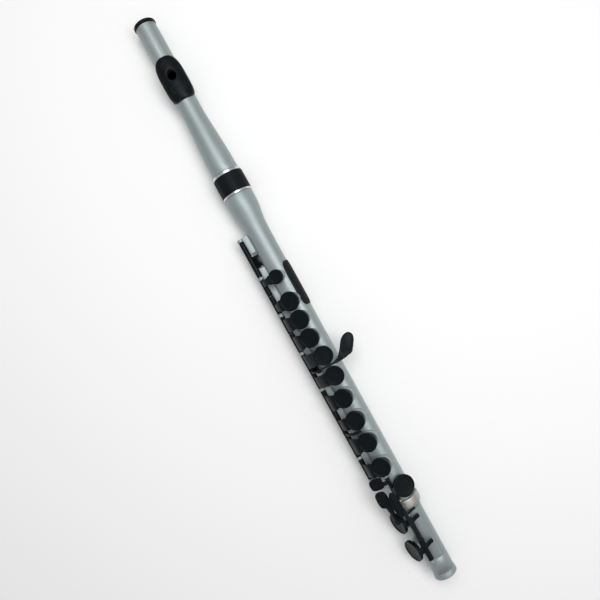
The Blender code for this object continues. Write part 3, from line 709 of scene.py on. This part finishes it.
def arm(name, x, angle, radius, rim, near, far):
    """Arm from a cup down to its hinge tube; near and far are half widths at its ends."""
    low, middle = ROD[0] + 0.4, ROD[0] + 2.2
    places = (from_cup(angle, 3.2 - radius, rim + 2.45) + (0.8 * near,),
              from_cup(angle, -radius - 0.3, rim + 2.5) + (near,),
              from_cup(angle, -radius - 2.2, rim + 2.3) + (0.5 * (near + far),),
              (middle, 9.2, far), (low, 2.4, far))
    return swept(name, [(y, z, x - half, x + half) for y, z, half in places], 2.0)


def simple_key(body, x, tube_start, tube_end, angle, radius, near, far):
    short = body.replace("_key", "")
    deliver(cup(body + "_cup", x, angle, radius, RIM), body, "black", [body])
    deliver(arm(short + "_arm", x, angle, radius, RIM, near, far), body, "black")
    deliver(hinge_tube(short + "_hinge_tube", tube_start, tube_end), body, "black")
    deliver(pad(short + "_pad_disc", x, angle, radius, RIM), body, "pad", [short + "_pad"])


def make_main_keys():
    keys = {"c_sharp_key": (302.6, 322.0, 5.2, 3.2), "c_key": (322.3, 343.4, 6.4, 4.0),
            "b_key": (347.3, 368.0, 7.4, 7.5), "a_key": (368.3, 390.3, 8.0, 8.5),
            "f_sharp_key": (438.3, 463.0, 8.2, 9.0), "f_key": (463.3, 487.0, 7.0, 6.0),
            "e_key": (493.3, 518.5, 8.2, 9.5), "d_key": (522.1, 545.7, 8.0, 8.0)}
    for body, (start, end, near, far) in keys.items():
        x = middle_x(body.replace("_key", "_pad"))
        radius = TEARDROP_RADIUS if body == "c_sharp_key" else CUP_RADIUS
        simple_key(body, x, start, end, CUP_ANGLE, radius, near, far)


def make_g_key():
    body = "g_key"
    tubes = ((394.3, 410.4), (419.8, 434.5))
    pads = ("g_pad_upper", "g_pad_lower")
    arms = ((402.3, 7.2, 7.5), (427.1, 7.2, 6.5))
    for i, (node_name, ends, (arm_x, near, far)) in enumerate(zip(pads, tubes, arms)):
        x = middle_x(node_name)
        nodes = [body] if i == 0 else []
        deliver(cup("g_cup_%d" % (i + 1), x, OFFSET_CUP_ANGLE, CUP_RADIUS, RIM), body, "black", nodes)
        deliver(arm("g_arm_%d" % (i + 1), arm_x, OFFSET_CUP_ANGLE, CUP_RADIUS, RIM, near, far), body, "black")
        deliver(hinge_tube("g_hinge_tube_%d" % (i + 1), *ends), body, "black")
        disc = pad(node_name + "_disc", x, OFFSET_CUP_ANGLE, CUP_RADIUS, RIM)
        deliver(disc, body, "pad", [node_name])
    low = ROD[1] - KEY_TUBE_RADIUS
    bridge = ((400.0, low + 0.5), (404.0, low + 0.5), (404.0, low - 0.8),
              (424.5, low - 0.8), (424.5, low + 0.5), (428.5, low + 0.5),
              (428.5, low - 2.2), (400.0, low - 2.2))
    bar = plate("g_bridge", [bridge], -1.2, 1.2, 0.35, curved=False)
    upright = Matrix.Rotation(math.radians(90.0), 4, "X")
    bar.data.transform(Matrix.Translation((0.0, ROD[0] - 0.6, 0.0)) @ upright)
    deliver(bar, body, "black")


def make_g_sharp_key():
    body = "g_sharp_key"
    x = middle_x("g_sharp_pad")
    deliver(hinge_tube("g_sharp_hinge_tube", 410.7, 419.5), body, "black", [body])
    line = ((ROD[0], 2.2, 414.1, 416.0), (ROD[0] + 1.6, 12.5, 414.1, 416.0),
            (ROD[0] + 6.0, 18.4, 414.1, 416.0), (-8.0, 19.5, 414.1, 416.0),
            (1.0, 19.6, 414.1, 416.1), (5.0, 19.2, 413.8, 416.7),
            (8.5, 18.0, 412.6, 416.9), (12.0, 16.2, 410.2, 416.9), (15.5, 14.9, 407.4, 416.7))
    deliver(swept("g_sharp_lever", line, 2.0, 0.5, 40), body, "black")
    leaf = ((394.0, 29.8), (394.9, 25.6), (397.6, 21.8), (401.5, 18.6), (405.6, 15.8), (409.4, 12.6),
            (412.4, 10.4), (416.4, 10.2), (416.9, 15.0), (416.0, 20.5), (414.7, 25.8), (411.5, 28.6),
            (407.0, 31.8), (402.5, 34.4), (398.4, 34.9), (395.2, 33.2))
    hollow = ((396.2, 29.6), (397.2, 26.2), (399.6, 23.0), (403.2, 20.0), (407.0, 17.4), (410.2, 15.4),
              (411.8, 17.5), (412.2, 21.5), (411.8, 25.0), (409.4, 27.2), (405.8, 29.8), (402.0, 32.2),
              (398.6, 32.7), (396.8, 31.6))
    deliver(plate("g_sharp_touch", [leaf], 13.3, 14.8, 0.45), body, "black")
    deliver(plate("g_sharp_touch_rim", [leaf, hollow], 14.2, 15.6, 0.3), body, "black")
    low = ((ROD[0] + 2.0, -1.0), (ROD[0] + 3.6, -4.0), from_cup(G_SHARP_CUP_ANGLE, 2.0, SMALL_RIM + 3.9))
    deliver(plate("g_sharp_low_arm", [strip(low, 1.9)], 413.0, 417.4, 0.4, "X", curved=False), body, "black")
    deliver(cup("g_sharp_cup", x, G_SHARP_CUP_ANGLE, 6.3, SMALL_RIM), body, "black")
    deliver(pad("g_sharp_pad_disc", x, G_SHARP_CUP_ANGLE, 6.3, SMALL_RIM), body, "pad", ["g_sharp_pad"])


def make_trill_key():
    body = "trill_key"
    x = middle_x("trill_pad")
    deliver(cup("trill_cup", x, TRILL_CUP_ANGLE, 6.5, TRILL_RIM), body, "black", ["trill_cup_key"])
    deliver(pad("trill_pad_disc", x, TRILL_CUP_ANGLE, 6.5, TRILL_RIM), body, "pad", ["trill_pad"])
    deliver(hinge_tube("trill_hinge_tube", 256.3, 298.7), body, "black")
    web = ((ROD[0] + 1.6, -0.6, 275.6, 289.2), (ROD[0] + 2.6, -2.0, 275.4, 289.8),
           from_cup(TRILL_CUP_ANGLE, 2.4, TRILL_RIM + 3.7) + (275.2, 289.0),
           from_cup(TRILL_CUP_ANGLE, -2.0, TRILL_RIM + 3.6) + (275.8, 287.4))
    deliver(swept("trill_web", web, 1.9, 0.4), body, "black")
    deliver(hinge_tube("trill_touch_tube", 487.3, 493.0), body, "black", ["trill_touch"])
    line = ((ROD[0], 2.2), (ROD[0] + 1.8, 11.0), (ROD[0] + 7.0, 18.0), (-9.0, 20.0), (-5.5, 20.2))
    deliver(plate("trill_lever", [strip(line, 2.2)], 489.3, 492.3, 0.5, "X", curved=False), body, "black")
    rod = solid_rod("trill_through_rod", 253.4, 550.4, 1.25, 24, soft=0.25)
    deliver(onto(rod, ROD), body, "steel", ["trill_rod"])


def rimmed_touch(name, leaf, hollow, centre, angle, body):
    """Flat touch for a finger, with a low rim round it."""
    deliver(tilted(plate(name, [leaf], -1.2, 0.7, 0.35), centre, angle), body, "black")
    deliver(tilted(plate(name + "_rim", [leaf, hollow], 0.2, 1.2, 0.35), centre, angle), body, "black")


def make_foot_keys():
    rod_y, rod_z = FOOT_ROD
    for body, ends, pad_node in (("low_c_sharp_key", (595.5, 613.0), "low_c_sharp_pad"),
                                 ("low_c_key", (613.3, 646.1), "low_c_pad")):
        x = middle_x(pad_node)
        deliver(cup(body + "_cup", x, FOOT_CUP_ANGLE, FOOT_CUP_RADIUS, FOOT_RIM), body, "black", [body])
        disc = pad(pad_node + "_disc", x, FOOT_CUP_ANGLE, FOOT_CUP_RADIUS, FOOT_RIM)
        deliver(disc, body, "pad", [pad_node])
        deliver(hinge_tube(body + "_hinge_tube", *ends, FOOT_ROD, 3.0, 1.4), body, "black")
        line = ((rod_y - 1.9, rod_z + 0.2), from_cup(FOOT_CUP_ANGLE, FOOT_CUP_RADIUS - 0.5, FOOT_RIM + 3.7))
        bar = plate(body + "_arm", [strip(line, 2.0)], x - 3.0, x + 3.0, 0.5, "X", curved=False)
        deliver(bar, body, "black")
    body = "low_c_sharp_key"
    neck = ((569.0, -2.2), (590.0, -1.7), (597.0, -3.0), (597.0, 3.0), (590.0, 1.7), (569.0, 2.2))
    bar = plate("low_c_sharp_neck", [neck], -1.3, 1.3, 0.5)
    deliver(tilted(bar, (0.0, -18.3, 11.6), -52.0), body, "black")
    leaf = rounded_outline((0.0, 0.0), (9.1, 6.6), 18, 3.2)
    hollow = rounded_outline((0.0, 0.0), (7.7, 5.2), 18, 3.0)
    rimmed_touch("low_c_sharp_touch", leaf, hollow, (567.3, -20.6, 11.2), -38.0, body)
    body = "low_c_key"
    outline = ((583.0, -1.9), (620.0, -1.9), (620.0, 1.9), (583.0, 1.9))
    bar = plate("low_c_bar", [outline], -1.2, 1.2, 0.5, curved=False)
    deliver(tilted(bar, (0.0, rod_y - 1.6, rod_z + 5.8), 0.0), body, "black")
    root = strip(((rod_y - 0.3, rod_z + 1.9), (rod_y - 1.6, rod_z + 5.8)), 3.0)
    deliver(plate("low_c_root", [root], 615.0, 619.6, 0.4, "X", curved=False), body, "black")
    lens = rounded_outline((0.0, 0.0), (14.0, 4.9), 20, 2.3)
    deliver(tilted(plate("low_c_touch", [lens], -1.2, 1.2, 0.6), (575.5, -12.1, 21.6), -14.0), body, "black")


def make_e_flat_key():
    body = "e_flat_key"
    rod_y, rod_z = FOOT_ROD
    x = middle_x("e_flat_pad")
    deliver(cup("e_flat_cup", x, E_FLAT_ANGLE, E_FLAT_RADIUS, RIM), body, "black", [body])
    deliver(pad("e_flat_pad_disc", x, E_FLAT_ANGLE, E_FLAT_RADIUS, RIM), body, "pad", ["e_flat_pad"])
    deliver(hinge_tube("e_flat_hinge_tube", 547.9, 574.3, FOOT_ROD, 2.1, 1.35), body, "black")
    web = ((rod_y, rod_z + 1.7), from_cup(E_FLAT_ANGLE, -(E_FLAT_RADIUS - 0.5), RIM + 3.7))
    deliver(plate("e_flat_web", [strip(web, 1.8)], 559.0, 567.0, 0.4, "X", curved=False), body, "black")
    line = ((rod_y - 1.6, rod_z), (-10.6, 15.6), (-17.0, 12.9), (-20.0, 11.2))
    deliver(plate("e_flat_lever", [strip(line, 2.2)], 550.6, 554.8, 0.5, "X", curved=False), body, "black")
    leaf = rounded_outline((0.0, 0.0), (6.1, 7.6), 18, 3.6)
    hollow = rounded_outline((0.0, 0.0), (4.8, 6.2), 18, 3.4)
    rimmed_touch("e_flat_touch", leaf, hollow, (551.0, -19.2, 11.6), -24.0, body)


# ------------------------------------------------------------ tubes


def hole_cutter(x, angle, radius, rim):
    return lean(solid_rod("hole", 2.0, rim + 6, radius, 48, along="Z"), x, angle)


def seat(name, x, angle, outer, hole, rim, body):
    """Raised seat of a tone hole, its base sunk into the tube."""
    low = math.sqrt(max(9.0, BODY_RADIUS ** 2 - outer ** 2)) - 1.2
    outline = ((low, hole), (low, outer), (rim - 0.9, outer), (rim, outer - 0.7),
               (rim, hole + 0.5), (rim - 0.6, hole))
    deliver(lean(turned(name, outline, MEDIUM, ring=True, along="Z", soft=0.35), x, angle), body, "silver")


def body_seats():
    rows = []
    for name in ("c", "b", "a"):
        rows.append((name, CUP_ANGLE, 8.3, 7.2, RIM))
    for name in ("f_sharp", "f", "e", "d"):
        rows.append((name, CUP_ANGLE, 9.9, 7.2, RIM))
    rows.append(("c_sharp", CUP_ANGLE, 6.3, 3.6, RIM))
    rows.append(("trill", TRILL_CUP_ANGLE, 5.2, 3.6, TRILL_RIM))
    rows.append(("g_sharp", G_SHARP_CUP_ANGLE, 4.9, 3.3, SMALL_RIM))
    rows.append(("e_flat", E_FLAT_ANGLE, 8.4, 6.2, RIM))
    holes = [(name + "_seat", middle_x(name + "_pad"), angle, outer, hole, rim)
             for name, angle, outer, hole, rim in rows]
    for name in ("g_pad_upper", "g_pad_lower"):
        holes.append((name.replace("pad", "seat"), middle_x(name), OFFSET_CUP_ANGLE, 8.5, 7.2, RIM))
    return holes


def make_body_tube():
    start, end = span("body_tube")
    outer = [(start, 12.95), (start, 14.9), (210.4, 14.9), (210.4, 15.9), (210.8, 16.1), (221.0, 16.0)]
    outer += eased((221.5, 15.98), (250.0, 12.7), 24) + eased((250.5, 12.68), (262.0, BODY_RADIUS), 8)
    outer += [(end, BODY_RADIUS), (end, BODY_BORE), (232.0, BODY_BORE), (232.0, 12.95)]
    body = turned("body_shell", outer, FINE, ring=True)
    holes = body_seats()
    cut(body, [hole_cutter(x, angle, hole, rim) for _, x, angle, _, hole, rim in holes])
    round_normals(body)
    deliver(body, "body", "silver", ["body_tube"])
    for name, x, angle, outer_radius, hole, rim in holes:
        seat(name, x, angle, outer_radius, hole, rim, "body")


def make_head_tube():
    start, end = span("head_tube")
    grooves = []
    for name in ("head_seal_upper", "head_seal_lower"):
        x = middle_x(name)
        grooves += [(x - 1.3, 12.6), (x - 1.3, 11.5), (x + 1.3, 11.5), (x + 1.3, 12.6)]
    outer = [(start, 10.9), (start + 0.7, HEAD_RADIUS), (104.0, HEAD_RADIUS)]
    outer += eased((104.5, HEAD_RADIUS), (176.0, 14.75), 30)
    outer += [(182.6, 14.8), (183.4, 14.4), (183.4, 12.6)] + grooves
    outer += [(end, 12.6), (end, BODY_BORE), (start, 8.6)]
    head = turned("head_shell", outer, FINE, ring=True)
    hole_x = BLOW_HOLE[0]
    wide = (BLOW_HALF[0] + 0.5, BLOW_HALF[1] + 0.5)
    cutter = plate("hole", [rounded_outline((hole_x, 0.0), wide, 32)], 4.0, 20.0, 0.01, curved=False)
    cut(head, [cutter])
    round_normals(head)
    deliver(head, "head", "silver", ["head_tube"])
    # Black sleeve inside the bore round the blow hole: painted shade, so the bore seen through the hole reads
    # dark.
    shade_sleeve = tube("blow_hole_shade_sleeve", 52.0, 110.0, 9.0, 8.45, FINE, 0.1)
    cutter = plate("hole", [rounded_outline((hole_x, 0.0), BLOW_HALF, 32)], 4.0, 20.0, 0.01, curved=False)
    deliver(cut(shade_sleeve, [cutter]), "head", "black")


def make_lip_plate():
    """Saddle-shaped plate: rings of points run from the blow hole to the outline."""
    start, end = span("lip_plate")
    centre = 0.5 * (start + end)
    half = 0.5 * (end - start)
    width = 14.3
    count = 96
    rings = 22

    def outline(turn):
        c, s = math.cos(turn), math.sin(turn)
        power = 4.6 if c > 0 else 3.1
        return Vector((centre + half * math.copysign(abs(c) ** (2.0 / power), c),
                       width * math.copysign(abs(s) ** (2.0 / power), s)))

    def hole(turn):
        return Vector((BLOW_HOLE[0] + BLOW_HALF[0] * math.cos(turn), BLOW_HALF[1] * math.sin(turn)))

    def top(x, y):
        away = abs(x - BLOW_HOLE[0]) / (half + 5.0)
        crown = 13.3 + 2.9 * max(0.0, 1.0 - away ** 2.2)
        dish = 0.55 * math.exp(-(((x - BLOW_HOLE[0]) / 10.0) ** 2 + (y / 8.0) ** 2))
        return math.sqrt(max(1.0, crown ** 2 - (0.93 * y) ** 2)) - dish

    def under(x, y):
        return max(3.3, math.sqrt(max(0.0, (HEAD_RADIUS + 0.3) ** 2 - y ** 2)))

    vertices = []
    layers = []

    def add_ring(t, height):
        layers.append(len(vertices))
        for i in range(count):
            turn = 2.0 * math.pi * i / count
            place = hole(turn).lerp(outline(turn), t)
            vertices.append((place.x, place.y, height(place.x, place.y)))

    for k in range(rings + 1):
        t = k / rings
        edge = max(0.0, (t - 0.9) / 0.1)
        lip = max(0.0, 1.0 - t / 0.06)
        drop = 1.1 * (1.0 - math.sqrt(max(0.0, 1.0 - edge ** 2))) + 0.5 * lip ** 2
        add_ring(t, lambda x, y: max(under(x, y) + 0.2, top(x, y) - drop))
    for k in range(rings, 0, -2):
        add_ring(k / rings, under)
    add_ring(0.012, lambda x, y: 11.9)
    add_ring(0.012, lambda x, y: 9.2)
    add_ring(0.0, lambda x, y: 9.2)
    faces = joined(layers + layers[:1], count)
    shield = mend(object_from("lip_plate_shield", vertices, faces))
    deliver(shield, "head", "black", ["lip_plate"], sharp=50.0)
    for i in range(11):
        y = -8.0 + 1.6 * i
        reach = 91.5 - 0.09 * y * y
        points = [(x, y, top(x, y) + 0.02) for x in (77.0 + 0.04 * y * y, 80.5, 84.0, 87.5, reach)]
        deliver(ridge("lip_ridge_%d" % (i + 1), points, 0.28), "head", "black")
    for i in range(9):
        y = -6.4 + 1.6 * i
        start_x = 50.5 + 0.07 * y * y
        points = [(x, y, top(x, y) + 0.02) for x in (start_x, 54.5, 57.0, 60.0 - 0.03 * y * y)]
        deliver(ridge("lip_line_%d" % (i + 1), points, 0.2), "head", "black")


def ridge(name, points, radius):
    """Thin round-ended bead laid along a line of points."""
    curve = bpy.data.curves.new(name, "CURVE")
    curve.dimensions = "3D"
    curve.bevel_depth = radius
    curve.bevel_resolution = 3
    curve.use_fill_caps = True
    line = curve.splines.new("POLY")
    line.points.add(len(points) - 1)
    for i, (point, place) in enumerate(zip(line.points, points)):
        point.co = tuple(place) + (1.0,)
        point.radius = 0.35 if i in (0, len(points) - 1) else 1.0
    holder = bpy.data.objects.new(name + "_line", curve)
    bpy.context.scene.collection.objects.link(holder)
    bpy.context.view_layer.update()
    mesh = bpy.data.meshes.new_from_object(holder.evaluated_get(bpy.context.evaluated_depsgraph_get()))
    bpy.data.objects.remove(holder, do_unlink=True)
    obj = bpy.data.objects.new(name, mesh)
    bpy.context.scene.collection.objects.link(obj)
    return mend(obj, 0.001)


def make_crown():
    outline = ((0.0, 0.0), (0.0, 8.6), (0.35, 9.2), (0.35, 10.6), (0.0, 11.2), (0.0, 11.6), (0.9, 12.4),
               (3.6, 12.4),
               (3.6, 8.2), (8.0, 8.2), (8.0, 2.7), (1.6, 2.7), (1.6, 0.0))
    deliver(turned("crown_cap", outline, FINE, soft=0.35), "crown", "black", ["crown"])


def make_collar():
    for node_name, name in (("collar_ring_upper", "upper_ring"), ("collar_ring_lower", "lower_ring")):
        start, end = span(node_name)
        middle = 0.5 * (start + end)
        outline = ((start, 15.2), (start, 16.5), (middle - 0.3, 16.5), (middle - 0.15, 16.3),
                   (middle + 0.15, 16.3), (middle + 0.3, 16.5), (end, 16.5), (end, 15.2))
        deliver(turned(name, outline, FINE, ring=True, soft=0.3), "body", "chrome", [node_name])
    start, end = span("barrel_collar")
    outline = ((start, 15.2), (start, 16.7), (start + 0.9, 16.93),
               (end - 0.9, 16.93), (end, 16.7), (end, 15.2))
    deliver(turned("collar_band", outline, FINE, ring=True, soft=0.4), "body", "collar", ["barrel_collar"])


RIBS = {
    "rib_trill": ((253.0, 256.0),),
    "rib_left_hand": ((299.0, 302.3), (343.7, 347.0), (390.6, 394.0)),
    "rib_right_hand": ((434.8, 438.0), (518.8, 521.8), (546.0, 551.0)),
}


def make_ribs():
    for name, posts in RIBS.items():
        start, end = span(name)
        outline = [(start, -11.6), (start, -17.4), (start + 0.8, -18.2)]
        for first, last in posts:
            if first - 1.5 > start + 1.0:
                outline += [(first - 1.5, -18.2)]
            outline += [(first, -19.6), (first, ROD[0]), (last, ROD[0]), (last, -19.6)]
            if last + 1.5 < end - 1.0:
                outline += [(last + 1.5, -18.2)]
        outline += [(end - 0.2, -18.2), (end, -17.4), (end, -11.6)]
        rail = plate(name + "_rail", [outline], -1.8, 1.8, 0.45, curved=False)
        post_bore = []
        for first, last in posts:
            post_bore.append(onto(solid_rod("bore", first - 2, last + 2, 1.6, 32), ROD))
        cut(rail, post_bore)
        deliver(rail, "body", "silver", [name], sharp=30.0)
        for i, (first, last) in enumerate(posts):
            head = onto(tube("%s_post_%d" % (name, i + 1), first, last, 3.55, 1.6, 48, soft=0.55), ROD)
            deliver(head, "body", "silver")


def make_grip_pad():
    """Rubber patch laid in the body's flank under the first finger."""
    start, end = span("grip_pad")
    count, rings = 72, 8
    half = (0.5 * (end - start), 8.2)
    vertices = []
    layers = []
    rows = [(k / rings, 13.65) for k in range(1, rings + 1)]
    rows += [(k / rings, 12.5) for k in range(rings, 0, -1)]
    for index, (t, radius) in enumerate(rows):
        soft = 0.45 * max(0.0, (t - 0.86) / 0.14) ** 2 if index < rings else 0.0
        layers.append(len(vertices))
        for u, v in rounded_outline((0.0, 0.0), half, count, 4.2):
            turn = v * t / 12.4
            r = radius - soft
            vertices.append((u * t, r * math.sin(turn), r * math.cos(turn)))
    faces = joined(layers, count)
    for layer, radius in ((layers[0], 13.65), (layers[-1], 12.5)):
        vertices.append((0.0, 0.0, radius))
        for i in range(count):
            faces.append((layer + i, layer + (i + 1) % count, len(vertices) - 1))
    patch = lean(mend(object_from("finger_grip", vertices, faces)), 0.5 * (start + end), 61.0)
    x = middle_x("c_pad")
    clear = solid_rod("clear", 3.0, 20.0, 8.75, 48, along="Z")
    cut(patch, [lean(clear, x, CUP_ANGLE)])
    deliver(patch, "body", "grip", ["grip_pad"], sharp=50.0)


def make_foot():
    start, end = span("foot_tube")
    outer = [(start, 12.7), (start, 14.0), (587.0, 14.0), (587.0, 15.1), (587.3, 15.25)]
    outer += eased((587.6, 15.2), (591.4, FOOT_RADIUS), 14)
    outer += [(649.6, FOOT_RADIUS), (649.8, 12.05), (650.2, 12.05), (650.4, FOOT_RADIUS),
              (666.7, FOOT_RADIUS), (666.7, 11.2), (end, 11.2), (end, BODY_BORE),
              (592.4, BODY_BORE), (592.4, 12.7)]
    foot = turned("foot_shell", outer, FINE, ring=True)
    seats = [(name + "_seat", middle_x(name + "_pad")) for name in ("low_c_sharp", "low_c")]
    cut(foot, [hole_cutter(x, FOOT_CUP_ANGLE, 7.4, FOOT_RIM) for _, x in seats])
    round_normals(foot)
    deliver(foot, "foot", "silver", ["foot_tube"])
    for name, x in seats:
        seat(name, x, FOOT_CUP_ANGLE, 9.8, 7.4, FOOT_RIM, "foot")
    first, last = span("foot_socket_ring")
    ring = ((first, 14.3), (first, 15.5), (first + 0.6, 15.9), (last - 0.2, 15.9), (last, 14.3))
    deliver(turned("socket_ring", ring, FINE, ring=True, soft=0.3), "foot", "nickel", ["foot_socket_ring"])
    first, last = span("foot_end_ring")
    rim = [(first, 11.5), (first, FOOT_RADIUS)]
    rim += eased((first + 0.2, FOOT_RADIUS), (last - 1.2, 12.88), 10)
    rim += [(last - 0.5, 12.9), (last, 12.5), (last, 11.5)]
    deliver(turned("end_rim", rim, FINE, ring=True), "foot", "silver", ["foot_end_ring"])


def make_foot_posts():
    sets = (("foot_rib", "foot", ((592.4, 595.2), (646.4, 649.6))),
            ("e_flat_rib", "body", ((545.2, 547.6), (574.6, 577.2))))
    for name, body, posts in sets:
        soften(name, "silver", 0.3)
        for i, (first, last) in enumerate(posts):
            head = tube("%s_post_%d" % (name, i + 1), first - 0.05, last + 0.05, 2.75, 1.4, 40, soft=0.5)
            deliver(onto(head, FOOT_ROD), body, "silver")
    for name, body in (("foot_rod", "foot"), ("e_flat_rod", "body")):
        first, last = span(name)
        pin = solid_rod(name + "_pin", first, last, 1.05, 24, soft=0.2)
        deliver(onto(pin, FOOT_ROD), body, "steel", [name])


def make_stop_tabs():
    """Fingers that reach over the foot and stop the open keys at their height."""
    rod_y, rod_z = FOOT_ROD
    line = ((rod_y + 0.6, rod_z + 2.6), (rod_y + 3.4, rod_z + 1.8),
            (rod_y + 7.6, rod_z - 0.5), (rod_y + 11.2, rod_z - 1.5))
    tabs = (("low_c_sharp_stop", "low_c_sharp_key", 600.0, 4.4), ("low_c_stop", "low_c_key", 630.2, 4.4))
    for name, body, x, wide in tabs:
        stations = [(y, z, x - 0.5 * wide - 0.3 * k, x + 0.5 * wide - 0.4 * k)
                    for k, (y, z) in enumerate(line)]
        deliver(swept(name, stations, 1.5, 0.35), body, "black", at_rest=True)
    thin = [(y, z, 590.2 - 0.2 * k, 592.2 - 0.2 * k) for k, (y, z) in enumerate(line)]
    deliver(swept("foot_rib_finger", thin, 1.4, 0.3), "foot", "black")
    bump = ((rod_y + 2.0, rod_z + 2.2, 620.0, 624.6), (rod_y + 3.4, rod_z + 1.4, 620.6, 624.0))
    deliver(swept("low_c_bump", bump, 2.0, 0.4, 6), "low_c_key", "black", at_rest=True)


def make_thumb_work():
    soften("thumb_rest", "black", 0.5)
    soften("thumb_lever", "black", 0.25)
    soften("thumb_bracket_upper", "silver", 0.25)
    soften("thumb_bracket_lower", "silver", 0.25)
    soften("thumb_rod", "steel", 0.1)


def make_inner_pieces():
    for name, radius in (("head_seal_upper", 12.15), ("head_seal_lower", 12.15), ("stopper_seal", 7.65)):
        x = middle_x(name)
        body = "stopper" if name == "stopper_seal" else "head_seals"
        outline = []
        for i in range(12):
            turn = 2.0 * math.pi * i / 12
            outline.append((x + 0.95 * math.cos(turn), radius + 0.5 * math.sin(turn)))
        deliver(turned(name + "_ring", outline, MEDIUM, ring=True), body, "rubber", [name], sharp=70.0)
    soften("stopper_plug", "black", 0.3)
    soften("stopper_screw", "steel", 0.2)


# ------------------------------------------------------------ stage, light and camera


def area_light(name, place, target, size, power, colour=(1.0, 1.0, 1.0)):
    light = bpy.data.lights.new(name, "AREA")
    light.shape = "RECTANGLE"
    light.size = size[0]
    light.size_y = size[1]
    light.energy = power
    light.color = colour
    lamp = bpy.data.objects.new(name, light)
    lamp.location = place
    lamp.rotation_euler = (Vector(target) - Vector(place)).to_track_quat("-Z", "Y").to_euler()
    bpy.context.scene.collection.objects.link(lamp)


def make_stage():
    level = -0.0002
    corners = [(-3, -3, level), (3, -3, level), (3, 3, level), (-3, 3, level)]
    floor = object_from("floor", corners, [(0, 1, 2, 3)])
    material = bpy.data.materials.new("floor_paper")
    material.use_nodes = True
    shader = material.node_tree.nodes["Principled BSDF"]
    shader.inputs["Base Color"].default_value = (0.95, 0.95, 0.95, 1.0)
    shader.inputs["Roughness"].default_value = 0.9
    shader.inputs["Specular IOR Level"].default_value = 0.1
    floor.data.materials.append(material)
    world = bpy.data.worlds.new("studio")
    bpy.context.scene.world = world
    world.use_nodes = True
    tree = world.node_tree
    place = node(tree, "ShaderNodeTexCoord")
    split = node(tree, "ShaderNodeSeparateXYZ")
    wire(tree, place, "Generated", split, "Vector")
    height = spread(tree, (split, "Z"), 0.34, 0.56)
    tree.nodes["Background"].inputs["Color"].default_value = (1.0, 1.0, 1.0, 1.0)
    tree.links.new(height[0].outputs[height[1]], tree.nodes["Background"].inputs["Strength"])
    area_light("key_light", (-0.15, 0.26, 1.0), (0.0, 0.0, 0.0), (1.3, 0.44), 8.0)
    bpy.context.scene.view_settings.view_transform = "Standard"


def make_camera():
    """Straight above the flute, turned so that it runs down to the right."""
    camera = bpy.data.cameras.new("camera")
    camera.sensor_width = 36.0
    camera.lens = 33.6
    camera.clip_start = 0.01
    holder = bpy.data.objects.new("camera", camera)
    above_x, above_y, above_axis = 340.8, 4.1, 603.4
    holder.location = TO_WORLD @ Vector((above_x, above_y, above_axis))
    holder.rotation_euler = (0.0, 0.0, math.radians(61.15))
    bpy.context.scene.collection.objects.link(holder)
    bpy.context.scene.camera = holder


# ------------------------------------------------------------ everything in order

make_camera()
make_stage()
make_head_tube()
make_lip_plate()
make_crown()
make_body_tube()
make_collar()
make_ribs()
make_grip_pad()
make_main_keys()
make_g_key()
make_g_sharp_key()
make_trill_key()
make_e_flat_key()
make_foot()
make_foot_posts()
make_foot_keys()
make_stop_tabs()
make_thumb_work()
make_inner_pieces()

bpy.context.view_layer.update()
